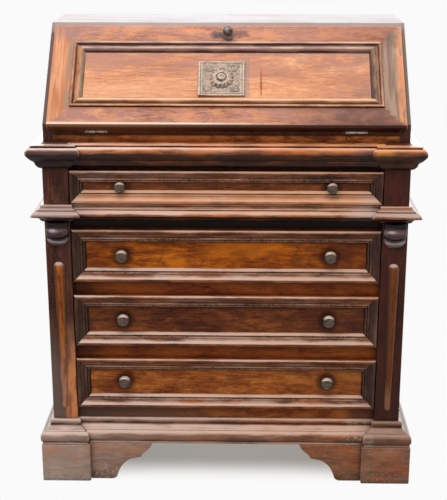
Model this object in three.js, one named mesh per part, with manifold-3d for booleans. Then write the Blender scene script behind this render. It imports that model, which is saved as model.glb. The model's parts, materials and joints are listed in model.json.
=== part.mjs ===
// Slant-front secretaire chest in dark walnut: a desk with a fall over four long drawers on bracket feet.
// Millimetres, +Z up, the front faces -Y. Upright pieces are laid out from the face of the corner posts.
import * as THREE from 'three';
import { mergeVertices } from 'three/addons/utils/BufferGeometryUtils.js';
import Module from 'manifold-3d';

const wasm = await Module();
wasm.setup();

// Carcass
const caseWidth = 800;
const caseDepth = 411;
const caseHeight = 1034;
const sideThick = 22;
const topThick = 20.4;
const backThick = 10;
const boardThick = 20;
const deskThick = 20.9;
const postWidth = 56;
const postDepth = 30;
const centreSetBack = 12;
const seat = 0.2;
const fit = 0.4;

// Plinth and mouldings, from the floor up, and the rails that show beside them
const plinthHeight = 92;
const baseHeight = 56.7;
const baseProjection = 27.8;
const waistHeight = 39;
const waistProjection = 25.6;
const corniceHeight = 53.8;
const corniceProjection = 30.4;
const footRail = 26.7;
const waistRail = 19.1;
const waistGap = 1.2;
const corniceLip = 5.7;

// Section of each moulding, from its foot to its top: shares of the projection and of the height
const baseShares = [
  [0, 0], [0.85, 0], [0.85, 0.1], [0.95, 0.18], [1, 0.27], [1, 0.36], [0.98, 0.43], [0.92, 0.49],
  [0.8, 0.545], [0.72, 0.555], [0.7, 0.54], [0.64, 0.555], [0.54, 0.61], [0.42, 0.655], [0.31, 0.71],
  [0.25, 0.79], [0.25, 0.97], [0.2, 1], [0, 1],
];
const waistShares = [
  [0, 0], [0.1, 0.025], [0.24, 0.1], [0.34, 0.2], [0.42, 0.25], [0.5, 0.28], [0.76, 0.34], [0.96, 0.385],
  [1, 0.42], [0.99, 0.49], [0.91, 0.57], [0.77, 0.64], [0.62, 0.695], [0.55, 0.7], [0.53, 0.74],
  [0.47, 0.755], [0.34, 0.815], [0.265, 0.86], [0.26, 0.97], [0.235, 1], [0, 1],
];
const corniceShares = [
  [0, 0], [0.05, 0.005], [0.17, 0.04], [0.27, 0.09], [0.36, 0.155], [0.42, 0.23], [0.435, 0.29],
  [0.5, 0.305], [0.51, 0.34], [0.63, 0.385], [0.74, 0.45], [0.85, 0.52], [0.94, 0.59], [0.99, 0.65],
  [1, 0.71], [0.98, 0.78], [0.91, 0.845], [0.8, 0.9], [0.7, 0.925], [0.67, 0.915], [0.67, 0.98],
  [0.645, 1], [0, 1],
];

// Long drawers, and the frames that they run on
const drawerSideGap = 1.4;
const topDrawerHeight = 74.5;
const railHeight = 31.3;
const drawerGap = 1;
const drawerProud = 13;
const frontThick = 24;
const boxSetIn = 7.6;
const boxWall = 12;
const boxFloor = 8;
const boxBackGap = 20.8;
const boxDrop = 9;
const boxClear = 0.3;
const runnerThick = 16;
const runnerWidth = 78;
const guideThick = 6;
const guideHeight = 14;
const railDepth = 30;
const frameBackGap = 3;

// Mitred moulding round a drawer front: shares of its width inwards and of its relief down to the panel
const drawerFrameShare = 0.2540984;
const topDrawerFrameWidth = 29;
const drawerRelief = 15;
const drawerFrameShares = [
  [0, 0.3], [0.03, 0.1], [0.09, 0], [0.24, 0], [0.27, 0.05], [0.33, 0.2], [0.42, 0.38], [0.52, 0.5],
  [0.6, 0.55], [0.61, 0.48], [0.73, 0.48], [0.74, 0.68], [0.8, 0.68], [0.81, 0.56], [0.88, 0.62],
  [0.95, 0.8], [1, 1],
];

// Turned knobs of the drawers, a size smaller on the top one: how far each pair stands above its
// drawer's middle, from the top drawer down, then shares of radius and length from the panel outwards
const knobSetIn = 168;
const knobRises = [0.5, 1, 3, 5];
const knobRadius = 14;
const knobLength = 25;
const topKnobRadius = 12;
const topKnobLength = 22;
const knobShares = [
  [0, 0], [0.5, 0], [0.5, 0.05], [0.4, 0.14], [0.38, 0.3], [0.44, 0.42], [0.76, 0.53], [0.95, 0.64],
  [1, 0.76], [0.95, 0.87], [0.8, 0.93], [0.7, 0.92], [0.64, 0.89], [0.56, 0.93], [0.3, 0.985], [0, 1],
];

// Fall: laid out up its slope from the hinge axis, and outwards from its inner face
const fallAngle = 46.7;
const fallThick = 20;
const fallLip = 8.2;
const fallSetIn = 9.5;
const fallLength = 268.7;
const fallLipOver = 14.7;
const topOverFall = 19.847;
const fallFoot = 0.5;
const noseRadius = 5;
const fallStileWidth = 57;
const fallPanelStart = 51.3;
const fallTopRail = 45.1;
const fallPocket = 8;
const fallFrameWidth = 27;
const fallFrameRise = 5;
const fallPanelSunk = 3;
const fallFrameShares = [
  [0, 0.1], [0.03, 0], [0.17, 0], [0.23, 0.18], [0.32, 0.4], [0.41, 0.45], [0.48, 0.35], [0.56, 0.15],
  [0.65, 0.075], [0.75, 0.2], [0.84, 0.52], [0.93, 0.9], [1, 1],
];

// Ball knob of the fall, shares as for the drawer knobs
const fallKnobDrop = 29.2;
const fallKnobAside = 1.5;
const fallKnobRadius = 11.5;
const fallKnobLength = 32;
const fallKnobShares = [
  [0, 0], [0.85, 0], [0.85, 0.08], [0.6, 0.16], [0.45, 0.22], [0.45, 0.3], [0.7, 0.35], [0.9, 0.45],
  [1, 0.6], [0.96, 0.75], [0.8, 0.88], [0.5, 0.97], [0, 1],
];

// Embossed plate on the fall's panel
const plateWidth = 103;
const plateHeightShare = 0.7777;
const plateThick = 2.4;
const plateRim = 7;
const plateRimRise = 1.6;
const plateAside = -12;
const plateRiseShare = 0.4117;
const bossRadius = 27;
const bossShares = [
  [0, 0], [1, 0], [0.98, 0.12], [0.84, 0.3], [0.62, 0.5], [0.46, 0.6], [0.44, 0.8], [0.36, 0.84],
  [0.3, 0.72], [0.26, 0.72], [0.22, 0.9], [0.12, 1], [0, 1],
];
const bossHeight = 9;

// Butt hinges of the fall
const hingeSetIn = 117.5;
const hingeLength = 48;
const knuckleRadius = 3.2;
const pinRadius = 1.5;
const pinPlay = 0.08;
const knuckles = 5;
const leafThick = 1.8;
const leafWidth = 22;
const leafClear = 3.8;

// Stays that hold the open fall: a bar pinned to a block on the fall, its far pin in a groove of the side
const stayRise = 105;
const stayLift = 12;
const stayLength = 180;
const stayClosedAngle = 6;
const stayOpenAngle = 10;
const stayWidth = 14;
const stayThick = 3;
const stayPinRadius = 3;
const stayPinDepth = 6;
const stayBlockLong = 30;
const stayBlockHigh = 22;
const stayBlockWide = 12;
const grooveDepth = 7.5;
const openAngle = 180;

// Applied ornament of the posts
const spindleRise = 82.8;
const spindleDrop = 92.8;
const spindleTopRadius = 12.8;
const spindleFootRadius = 6.7;
const corbelDrop = 56.3;
const corbelWidth = 50;
const corbelDepth = 17;
const corbelSideShares = [
  [0, 0], [0.25, 0.015], [0.5, 0.1], [0.62, 0.22], [0.6, 0.34], [0.45, 0.43], [0.42, 0.5], [0.62, 0.56],
  [0.9, 0.62], [1, 0.7], [0.97, 0.78], [0.8, 0.85], [0.74, 0.9], [0.88, 0.94], [0.9, 1], [0, 1],
];
const corbelFrontShares = [
  [0.22, 0.02], [0.32, 0.12], [0.4, 0.27], [0.47, 0.42], [0.43, 0.5], [0.46, 0.56], [0.46, 0.8],
  [0.5, 0.86], [0.5, 1],
];

// Plinth: corner blocks, cut brackets between them and boards down the sides
const blockProjection = 27;
const blockSetIn = 85.4;
const blockLength = 87;
const blockRound = 3.5;
const bracketProjection = 13.5;
const bracketThick = 24;
const bracketShoulder = 54.6;
const bracketLength = 89.5;
const bracketFootRound = 6;
const sidePlinthThick = 36;
const sidePlinthProjection = 25.5;
const sideFootLength = 66;
const sideArch = 39.8;

// Scroll of a bracket, from the rounding at its foot to its tip: shares of its length and height
const scrollFoot = 0.06;
const lowerScrollShares = [[0.13, 0.3], [0.2, 0.45], [0.42, 0.56]];
const cuspShares = [[0.6, 0.6], [0.7, 0.62]];
const upperScrollShares = [[0.74, 0.78], [0.92, 0.76], [1, 1]];

// Fittings inside the desk
const galleryFront = 240;
const galleryGap = 6;
const galleryWall = 9;
const galleryTopGap = 5;
const galleryShelf = 88;
const galleryDivider = 126;
const smallDrawerGap = 1;
const smallFrontThick = 14;
const smallWall = 7;
const smallKnobRadius = 8;
const smallKnobLength = 18;

// How finely round pieces are faceted
const lathePieces = 20;
const roundSteps = 6;
const grooveSteps = 24;
const edgeSteps = 3;
const weldShare = 1e-7;

// Widths and depths that follow from the case
const halfWidth = caseWidth / 2;
const innerHalf = halfWidth - sideThick;
const postInner = halfWidth - postWidth;
const postCentre = halfWidth - postWidth / 2;
const drawerHalfWidth = postInner - drawerSideGap;
const boxHalfWidth = drawerHalfWidth - boxSetIn;
const knobOut = halfWidth - knobSetIn;
const drawerCrest = centreSetBack - drawerProud;
const boxFront = drawerCrest + frontThick + seat;
const boxLength = caseDepth - backThick - boxBackGap - boxFront;
const fallHalfWidth = halfWidth - fallSetIn;
const fallPanelHalfWidth = halfWidth - fallStileWidth;
const fallPanelEnd = fallLength - fallTopRail;
const fallFieldStart = fallPanelStart + fallFrameWidth;
const fallFieldHeight = fallPanelEnd - fallPanelStart - 2 * fallFrameWidth;
const plateHeight = fallFieldHeight * plateHeightShare;
const plateRise = fallFieldStart + fallFieldHeight * plateRiseShare;
const hingeOut = halfWidth - hingeSetIn;
const blockInner = halfWidth - blockSetIn;
const bracketFoot = blockInner - bracketShoulder;
const bracketTip = bracketFoot - bracketLength;
const galleryHalfWidth = innerHalf - galleryGap;

// Levels: the desk hangs from the top, and the drawers below the waist share what is left
const frameNames = ['drawer_frame_lower', 'drawer_frame_middle', 'drawer_frame_upper'];
const lowerDrawers = frameNames.length;
const slope = THREE.MathUtils.degToRad(fallAngle);
const hingeLevel = caseHeight - topOverFall - fallLength * Math.sin(slope);
const deskLevel = hingeLevel - deskThick;
const corniceLevel = deskLevel - seat - corniceHeight;
const topDrawerLevel = corniceLevel - corniceLip - topDrawerHeight;
const waistLevel = topDrawerLevel - waistGap - waistHeight;
const caseFoot = plinthHeight + seat;
const lowestDrawerLevel = caseFoot + baseHeight + footRail;
const drawersHeight = waistLevel - waistRail - lowestDrawerLevel;
const drawerHeight = (drawersHeight - (lowerDrawers - 1) * railHeight) / lowerDrawers;
const drawerPitch = drawerHeight + railHeight;
const drawerFrameWidth = drawerFrameShare * drawerHeight;
const spindleFoot = caseFoot + spindleRise;
const spindleTop = waistLevel - spindleDrop;
const corbelFoot = waistLevel - corbelDrop;
const rebate = fallThick - fallLip - seat;
const bendLevel = hingeLevel + rebate / Math.cos(slope);
const bevelFront = (level) => postDepth + (level - bendLevel) / Math.tan(slope);
const topLevel = caseHeight - topThick;

// Colours by material
const tones = {
  case: { color: 0x3a2016, roughness: 0.42, metalness: 0 },
  moulding: { color: 0x35201a, roughness: 0.38, metalness: 0 },
  panel: { color: 0x6e3517, roughness: 0.4, metalness: 0 },
  fall: { color: 0x8a4a26, roughness: 0.42, metalness: 0 },
  spindle: { color: 0x7d4520, roughness: 0.4, metalness: 0 },
  inner: { color: 0x8f6b45, roughness: 0.7, metalness: 0 },
  knob: { color: 0x40332c, roughness: 0.45, metalness: 0.3 },
  bronze: { color: 0x7d6a55, roughness: 0.5, metalness: 0.7 },
  steel: { color: 0x8c857b, roughness: 0.4, metalness: 0.9 },
};

const secretaire = new THREE.Group();

// Adds one named piece to its group
function piece(group, name, geometry, tone) {
  const mesh = new THREE.Mesh(geometry, new THREE.MeshStandardMaterial(tones[tone]));
  mesh.name = name;
  group.add(mesh);
  return mesh;
}

// Turns a closed geometry into a solid that can be joined and cut
function solidOf(geometry) {
  const bare = new THREE.BufferGeometry();
  const open = geometry.index ? geometry.toNonIndexed() : geometry;
  bare.setAttribute('position', open.getAttribute('position'));
  const merged = mergeVertices(bare, caseWidth * weldShare);
  return new wasm.Manifold(new wasm.Mesh({
    numProp: 3,
    vertProperties: merged.getAttribute('position').array,
    triVerts: new Uint32Array(merged.index.array),
  }));
}

// Turns a solid back into a geometry
function geometryOf(solid) {
  const mesh = solid.getMesh();
  const geometry = new THREE.BufferGeometry();
  geometry.setAttribute('position', new THREE.BufferAttribute(mesh.vertProperties, 3));
  geometry.setIndex(new THREE.BufferAttribute(mesh.triVerts, 1));
  geometry.computeVertexNormals();
  return geometry;
}

// Joins solids into one, and cuts others out of it
function join(solids, cuts = []) {
  let made = solids[0];
  for (const other of solids.slice(1)) made = made.add(other);
  for (const cut of cuts) made = made.subtract(cut);
  return made;
}

// Closed geometry from corner points and faces, with its faces turned outwards
function closedGeometry(points, faces) {
  let volume = 0;
  for (const [a, b, c] of faces) {
    volume += points[a].dot(new THREE.Vector3().crossVectors(points[b], points[c]));
  }
  const turned = volume < 0 ? faces.map(([a, b, c]) => [a, c, b]) : faces;
  const geometry = new THREE.BufferGeometry().setFromPoints(points);
  geometry.setIndex(turned.flat());
  const flat = geometry.toNonIndexed();
  flat.computeVertexNormals();
  return flat;
}

// Box between two corners
function block([x0, x1], [y0, y1], [z0, z1]) {
  const box = new THREE.BoxGeometry(x1 - x0, y1 - y0, z1 - z0);
  box.translate((x0 + x1) / 2, (y0 + y1) / 2, (z0 + z1) / 2);
  return box;
}

const solidBlock = (xs, ys, zs) => solidOf(block(xs, ys, zs));

// Orders two values of one side, so that a mirrored span still runs upwards
const span = (side, near, far) => (side > 0 ? [near, far] : [-far, -near]);

// Outline in the Y-Z plane, carried along X
function alongX(outline, [x0, x1]) {
  const shape = new THREE.Shape(outline.map(([y, z]) => new THREE.Vector2(y, z)));
  const geometry = new THREE.ExtrudeGeometry(shape, { depth: x1 - x0, bevelEnabled: false });
  geometry.applyMatrix4(new THREE.Matrix4().makeBasis(
    new THREE.Vector3(0, 1, 0), new THREE.Vector3(0, 0, 1), new THREE.Vector3(1, 0, 0)));
  return geometry.translate(x0, 0, 0);
}

// Outline in the X-Z plane, carried along Y
function alongY(outline, [y0, y1]) {
  const shape = new THREE.Shape(outline.map(([x, z]) => new THREE.Vector2(x, z)));
  const geometry = new THREE.ExtrudeGeometry(shape, { depth: y1 - y0, bevelEnabled: false });
  geometry.rotateX(Math.PI / 2);
  return geometry.translate(0, y1, 0);
}

// Round piece turned about Y, its foot at the origin and its face towards -Y
function turned(shares, radius, length) {
  const profile = shares.map(([r, l]) => new THREE.Vector2(r * radius, l * length));
  return new THREE.LatheGeometry(profile, lathePieces).rotateX(Math.PI);
}

// Moulding run along a path of mitres: section points stand out along each mitre
function moulding(path, mitres, shares, projection, height, level) {
  const section = shares.map(([out, up]) => [seat + out * projection, level + up * height]);
  const points = [];
  for (const [i, [x, y]] of path.entries()) {
    const [mx, my] = mitres[i];
    for (const [out, up] of section) points.push(new THREE.Vector3(x + out * mx, y + out * my, up));
  }
  const count = section.length;
  const faces = [];
  for (let i = 0; i + 1 < path.length; i += 1) {
    for (let j = 0; j < count; j += 1) {
      const a = i * count + j;
      const b = i * count + ((j + 1) % count);
      faces.push([a, a + count, b], [b, a + count, b + count]);
    }
  }
  const cap = THREE.ShapeUtils.triangulateShape(section.map(([o, u]) => new THREE.Vector2(o, u)), []);
  const last = (path.length - 1) * count;
  for (const [a, b, c] of cap) {
    faces.push([a, b, c], [last + a, last + c, last + b]);
  }
  return closedGeometry(points, faces);
}

// Front moulding that breaks forward round both posts
function frontMoulding(shares, projection, height, level) {
  const path = [
    [-halfWidth, 0], [-postInner, 0], [-postInner, centreSetBack],
    [postInner, centreSetBack], [postInner, 0], [halfWidth, 0],
  ];
  const mitres = [[-1, -1], [1, -1], [1, -1], [-1, -1], [-1, -1], [1, -1]];
  return moulding(path, mitres, shares, projection, height, level);
}

// Side moulding from its mitre at the front corner to the back
function sideMoulding(side, shares, projection, height, level) {
  const path = [[side * halfWidth, fit], [side * halfWidth, caseDepth]];
  return moulding(path, [[side, -1], [side, 0]], shares, projection, height, level);
}

// Rectangular front with a mitred moulding round a sunk panel, facing +Z, centred on the origin.
// Relief is measured down from the crest, and the back lies deeper still.
function mouldedFront(halfLong, halfHigh, frameWidth, relief, shares, thick) {
  const rings = [[0, thick], ...shares.map(([inwards, down]) => [inwards * frameWidth, down * relief])];
  const corners = [[-1, -1], [1, -1], [1, 1], [-1, 1]];
  const points = [];
  for (const [inwards, down] of rings) {
    for (const [x, y] of corners) {
      points.push(new THREE.Vector3(x * (halfLong - inwards), y * (halfHigh - inwards), -down));
    }
  }
  const faces = [[0, 2, 1], [0, 3, 2]];
  for (let i = 0; i + 1 < rings.length; i += 1) {
    for (let j = 0; j < corners.length; j += 1) {
      const a = i * corners.length + j;
      const b = i * corners.length + ((j + 1) % corners.length);
      faces.push([a, b, a + corners.length], [b, b + corners.length, a + corners.length]);
    }
  }
  const last = (rings.length - 1) * corners.length;
  faces.push([last, last + 1, last + 2], [last, last + 2, last + 3]);
  return closedGeometry(points, faces);
}

// Point of the fall's layout in the Y-Z plane, when the fall stands at an angle
function onFall(up, out, angle) {
  return [
    postDepth + up * Math.cos(angle) - out * Math.sin(angle),
    hingeLevel + up * Math.sin(angle) + out * Math.cos(angle),
  ];
}

// Far pin of a stay when the fall has gone a share of its way open
function stayPin(share) {
  const fall = THREE.MathUtils.degToRad(fallAngle + share * (openAngle - fallAngle));
  const bar = THREE.MathUtils.degToRad(stayClosedAngle + share * (stayOpenAngle - stayClosedAngle));
  const [y, z] = onFall(stayRise, -stayLift, fall);
  return [y + stayLength * Math.cos(bar), z + stayLength * Math.sin(bar)];
}

// Closed groove outline that the far pin runs in
function grooveOutline() {
  const reach = stayPinRadius + fit;
  const centres = [];
  for (let i = 0; i <= grooveSteps; i += 1) centres.push(new THREE.Vector2(...stayPin(i / grooveSteps)));
  const sideOf = (i) => {
    const ahead = centres[Math.min(i + 1, grooveSteps)];
    const behind = centres[Math.max(i - 1, 0)];
    return Math.atan2(ahead.y - behind.y, ahead.x - behind.x) + Math.PI / 2;
  };
  const outline = [];
  const put = (centre, angle) => {
    outline.push([centre.x + reach * Math.cos(angle), centre.y + reach * Math.sin(angle)]);
  };
  for (let i = 0; i <= grooveSteps; i += 1) put(centres[i], sideOf(i));
  for (let i = 1; i < roundSteps; i += 1) {
    put(centres[grooveSteps], sideOf(grooveSteps) - (Math.PI * i) / roundSteps);
  }
  for (let i = grooveSteps; i >= 0; i -= 1) put(centres[i], sideOf(i) - Math.PI);
  for (let i = 1; i < roundSteps; i += 1) put(centres[0], sideOf(0) - Math.PI - (Math.PI * i) / roundSteps);
  return outline;
}

// Side board: upright to the bend beside the fall, then sloping, with the stay's groove inside
function sideBoard(side) {
  const outline = [
    [postDepth, caseFoot], [caseDepth, caseFoot], [caseDepth, topLevel - seat],
    [bevelFront(topLevel - seat), topLevel - seat], [postDepth, bendLevel],
  ];
  const board = solidOf(alongX(outline, span(side, innerHalf, halfWidth)));
  const grooveXs = span(side, innerHalf - sideThick, innerHalf + grooveDepth);
  const groove = solidOf(alongX(grooveOutline(), grooveXs));
  return geometryOf(board.subtract(groove));
}

// Top board with its front edge bevelled to the slope
function topBoard() {
  const outline = [
    [bevelFront(topLevel), topLevel], [caseDepth, topLevel],
    [caseDepth, caseHeight], [bevelFront(caseHeight), caseHeight],
  ];
  return alongX(outline, [-halfWidth, halfWidth]);
}

// Frame that a drawer runs on: front rail, runners with guides, and back rail
function drawerFrame(frontFoot, top) {
  const outer = innerHalf - fit;
  const back = caseDepth - backThick - frameBackGap;
  const railBack = centreSetBack + railDepth;
  const foot = top - runnerThick;
  const bars = [
    solidBlock([-postInner + fit, postInner - fit], [centreSetBack, railBack], [frontFoot, top]),
    solidBlock([-outer, outer], [postDepth + fit, railBack], [foot, top]),
    solidBlock([-outer, outer], [back - railDepth, back], [foot, top]),
  ];
  for (const side of [-1, 1]) {
    bars.push(solidBlock(span(side, outer - runnerWidth, outer), [railBack - seat, back], [foot, top]));
    const guide = boxHalfWidth + 2 * fit + drawerGap;
    const guideXs = span(side, guide, guide + guideThick);
    bars.push(solidBlock(guideXs, [railBack, back], [top - seat, top + guideHeight]));
  }
  return join(bars);
}

// Bottom: a solid board behind a deep front rail
function bottomBoard(top) {
  const frame = drawerFrame(caseFoot, top);
  const back = caseDepth - backThick - frameBackGap;
  const inner = innerHalf - fit;
  const board = solidBlock([-inner, inner], [postDepth + fit, back], [top - boardThick, top]);
  return join([frame, board]);
}

// Open-topped drawer box of a given height: sides, back and bottom
function drawerBox(front, length, half, height, wall, floor) {
  const back = front + length;
  const walls = [
    solidBlock([-half, half], [back - wall, back], [0, height]),
    solidBlock([-half, half], [front, back], [0, floor]),
  ];
  for (const side of [-1, 1]) {
    walls.push(solidBlock(span(side, half - wall, half), [front, back], [0, height]));
  }
  return join(walls);
}

// Long drawer with its moulded front, box and two knobs
function longDrawer(index, level, height, frameWidth, [knobWide, knobLong]) {
  const drawer = new THREE.Group();
  drawer.position.z = level;
  const front = mouldedFront(
    drawerHalfWidth, height / 2, frameWidth, drawerRelief, drawerFrameShares, frontThick);
  front.rotateX(Math.PI / 2);
  front.translate(0, drawerCrest, height / 2);
  piece(drawer, `drawer_${index}_front`, front, 'panel');
  const box = drawerBox(
    boxFront, boxLength, boxHalfWidth, height - boxDrop + drawerGap, boxWall, boxFloor);
  piece(drawer, `drawer_${index}_box`, geometryOf(box), 'inner').position.z = boxClear - drawerGap;
  for (const [name, side] of [['left', -1], ['right', 1]]) {
    const knob = turned(knobShares, knobWide, knobLong);
    const put = piece(drawer, `drawer_${index}_knob_${name}`, knob, 'knob');
    const knobLevel = height / 2 + knobRises[index - 1];
    put.position.set(side * knobOut, drawerCrest + drawerRelief - seat, knobLevel);
  }
  secretaire.add(drawer);
}

// Board of the fall in its own layout: a body between the sides and a lip that covers their edges
function fallBoard() {
  const lipFoot = fallThick - fallLip;
  const bodyEnd = fallLength - fallLipOver;
  const body = solidOf(alongX(
    [[fallFoot, 0], [bodyEnd, 0], [bodyEnd, lipFoot + seat], [fallFoot, lipFoot + seat]],
    [-innerHalf + fit, innerHalf - fit]));
  const lipOutline = [[fallFoot, lipFoot], [fallLength, lipFoot], [fallLength, fallThick]];
  for (let i = 0; i <= roundSteps; i += 1) {
    const angle = Math.PI / 2 + (Math.PI / 2) * (i / roundSteps);
    lipOutline.push([
      fallFoot + noseRadius + noseRadius * Math.cos(angle),
      fallThick - noseRadius + noseRadius * Math.sin(angle),
    ]);
  }
  const lip = solidOf(alongX(lipOutline, [-fallHalfWidth, fallHalfWidth]));
  const solids = [body, lip];
  const cuts = [solidBlock(
    [-fallPanelHalfWidth - seat, fallPanelHalfWidth + seat], [fallPanelStart - seat, fallPanelEnd + seat],
    [fallThick - fallPocket, fallThick + fallPocket])];
  for (const side of [-1, 1]) {
    const near = innerHalf - 2 * stayThick - stayBlockWide;
    const far = near + stayBlockWide;
    const along = [stayRise - stayBlockLong / 2, stayRise + stayBlockLong / 2];
    const holder = solidBlock(span(side, near, far), along, [-stayBlockHigh, seat]);
    solids.push(holder);
    const hole = turnedRod(stayPinRadius + fit, span(side, near + stayThick, far + stayThick));
    hole.translate(0, stayRise, -stayLift);
    cuts.push(solidOf(hole));
    cuts.push(...hingeSeats(side, [[leafClear / 2, leafWidth + fit], [-fit, leafThick + seat]]));
  }
  return geometryOf(join(solids, cuts));
}

// Rod along X between two places
function turnedRod(radius, [x0, x1]) {
  const rod = new THREE.CylinderGeometry(radius, radius, x1 - x0, lathePieces);
  return rod.rotateZ(Math.PI / 2).translate((x0 + x1) / 2, 0, 0);
}

// Room for one hinge in a board whose edge lies on the hinge axis: knuckles and leaf
function hingeSeats(side, [ups, outs]) {
  const [x0, x1] = [side * hingeOut - hingeLength / 2 - fit, side * hingeOut + hingeLength / 2 + fit];
  return [solidOf(turnedRod(knuckleRadius + fit, [x0, x1])), solidBlock([x0, x1], ups, outs)];
}

// One leaf of a butt hinge with its share of the knuckles, the axis at the origin and the leaf along +Y
function hingeLeaf(holdsPin, thickness) {
  const length = hingeLength / knuckles;
  const plate = [[leafClear, leafWidth], thickness];
  const solids = [solidBlock([-hingeLength / 2, hingeLength / 2], ...plate)];
  const cuts = [];
  for (let i = 0; i < knuckles; i += 1) {
    if ((i % 2 === 0) !== holdsPin) continue;
    const x0 = -hingeLength / 2 + i * length + fit / 2;
    const x1 = x0 + length - fit;
    solids.push(solidOf(turnedRod(knuckleRadius, [x0, x1])));
    solids.push(solidBlock([x0, x1], [0, leafClear + seat], thickness));
  }
  if (holdsPin) solids.push(solidOf(turnedRod(pinRadius, [-hingeLength / 2, hingeLength / 2])));
  else cuts.push(solidOf(turnedRod(pinRadius + pinPlay, [-hingeLength, hingeLength])));
  return geometryOf(join(solids, cuts));
}

// Embossed square plate with a raised rim and a round boss, facing +Z
function embossedPlate() {
  const [wide, high] = [plateWidth / 2, plateHeight / 2];
  const [fieldWide, fieldHigh] = [wide - plateRim, high - plateRim];
  const sheet = solidBlock([-wide, wide], [-high, high], [0, plateThick]);
  const rim = solidBlock([-wide, wide], [-high, high], [plateThick / 2, plateThick + plateRimRise]);
  const field = solidBlock(
    [-fieldWide, fieldWide], [-fieldHigh, fieldHigh], [plateThick / 4, plateThick + 2 * plateRimRise]);
  const boss = turned(bossShares, bossRadius, bossHeight).rotateX(-Math.PI / 2);
  boss.translate(0, 0, plateThick / 2);
  return geometryOf(join([rim.subtract(field), sheet, solidOf(boss)]));
}

// Stay: flat bar with a pin at each end, drawn along +Y from its pin on the fall
function stayBar(side) {
  const near = innerHalf - stayThick - 2 * fit;
  const barXs = span(side, near, near + stayThick);
  const half = stayWidth / 2;
  const outline = [];
  for (const [end, start] of [[stayLength, -Math.PI / 2], [0, Math.PI / 2]]) {
    for (let i = 0; i <= 2 * roundSteps; i += 1) {
      const angle = start + (Math.PI * i) / (2 * roundSteps);
      outline.push([end + half * Math.cos(angle), half * Math.sin(angle)]);
    }
  }
  const bar = solidOf(alongX(outline, barXs));
  const holder = innerHalf - 2 * stayThick;
  const inner = solidOf(turnedRod(stayPinRadius, span(side, holder - stayPinDepth, near + seat)));
  const outer = turnedRod(stayPinRadius, span(side, near + stayThick - seat, innerHalf + stayPinDepth));
  outer.translate(0, stayLength, 0);
  return geometryOf(join([bar, inner, solidOf(outer)]));
}

// Tapering half-round spindle, its flat against the post
function spindle(side) {
  const length = spindleTop - spindleFoot;
  const profile = [new THREE.Vector2(0, 0)];
  for (let i = 1; i <= roundSteps; i += 1) {
    const angle = (Math.PI / 2) * (i / roundSteps);
    profile.push(new THREE.Vector2(
      spindleFootRadius * Math.sin(angle), spindleFootRadius * (1 - Math.cos(angle))));
  }
  for (let i = 0; i < roundSteps; i += 1) {
    const angle = (Math.PI / 2) * (i / roundSteps);
    profile.push(new THREE.Vector2(
      spindleTopRadius * Math.cos(angle), length - spindleTopRadius * (1 - Math.sin(angle))));
  }
  profile.push(new THREE.Vector2(0, length));
  const whole = solidOf(new THREE.LatheGeometry(profile, lathePieces).rotateX(Math.PI / 2));
  const behind = solidBlock([-postWidth, postWidth], [0, postWidth], [-length, 2 * length]);
  const half = geometryOf(whole.subtract(behind));
  return half.translate(side * postCentre, -seat, spindleFoot);
}

// Carved corbel under the waist moulding: a scrolled side outline cut to a bellied front outline
function corbel(side) {
  const height = waistLevel - seat - corbelFoot;
  const sideOutline = corbelSideShares.map(([out, up]) => [-out * corbelDepth, up * height]);
  const rising = corbelFrontShares.map(([out, up]) => [out * corbelWidth, up * height]);
  const falling = rising.map(([out, up]) => [-out, up]).reverse();
  const footHalf = (corbelWidth * corbelFrontShares[0][0]) / 2;
  const foot = [[-footHalf, 0], [footHalf, 0]];
  const scroll = solidOf(alongX(sideOutline, [-corbelWidth, corbelWidth]));
  const belly = solidOf(alongY([...foot, ...rising, ...falling], [-2 * corbelDepth, corbelDepth]));
  return geometryOf(scroll.intersect(belly)).translate(side * postCentre, -seat, corbelFoot);
}

// Square corner block with rounded upright edges
function cornerBlock(side) {
  const [x0, x1] = [blockInner, halfWidth + blockProjection];
  const [y0, y1] = [-blockProjection, blockLength - blockProjection];
  const shape = new THREE.Shape();
  shape.moveTo(x0 + blockRound, y0);
  shape.lineTo(x1 - blockRound, y0);
  shape.quadraticCurveTo(x1, y0, x1, y0 + blockRound);
  shape.lineTo(x1, y1);
  shape.lineTo(x0, y1);
  shape.lineTo(x0, y0 + blockRound);
  shape.quadraticCurveTo(x0, y0, x0 + blockRound, y0);
  const geometry = new THREE.ExtrudeGeometry(
    shape, { depth: plinthHeight, bevelEnabled: false, curveSegments: edgeSteps });
  return side > 0 ? geometry : closedMirror(geometry);
}

// Mirror image across the middle of the chest, with its faces kept outwards
function closedMirror(geometry) {
  const open = geometry.index ? geometry.toNonIndexed() : geometry;
  const place = open.getAttribute('position');
  const points = [];
  for (let i = 0; i < place.count; i += 1) {
    points.push(new THREE.Vector3(-place.getX(i), place.getY(i), place.getZ(i)));
  }
  const faces = [];
  for (let i = 0; i < place.count; i += 3) faces.push([i, i + 1, i + 2]);
  return closedGeometry(points, faces);
}

// Scroll that a bracket is cut to, from its foot at x = 0 up to its tip: shares of length and height
function bracketScroll(shape, foot, tip, height) {
  const length = foot - tip;
  const placed = (shares) => shares.flatMap(([along, up]) => [foot - along * length, up * height]);
  shape.lineTo(foot + bracketFootRound, 0);
  shape.quadraticCurveTo(foot, 0, foot - scrollFoot * length, bracketFootRound);
  shape.bezierCurveTo(...placed(lowerScrollShares));
  shape.quadraticCurveTo(...placed(cuspShares));
  shape.bezierCurveTo(...placed(upperScrollShares));
}

// Front bracket beside a corner block
function frontBracket(side) {
  const shape = new THREE.Shape();
  const inner = blockInner - seat;
  shape.moveTo(inner, plinthHeight);
  shape.lineTo(inner, 0);
  bracketScroll(shape, bracketFoot, bracketTip, plinthHeight);
  shape.lineTo(inner, plinthHeight);
  const outline = shape.getPoints(roundSteps).map((p) => [side * p.x, p.y]);
  return alongY(outline.slice(0, -1), [-bracketProjection, bracketThick - bracketProjection]);
}

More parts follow.
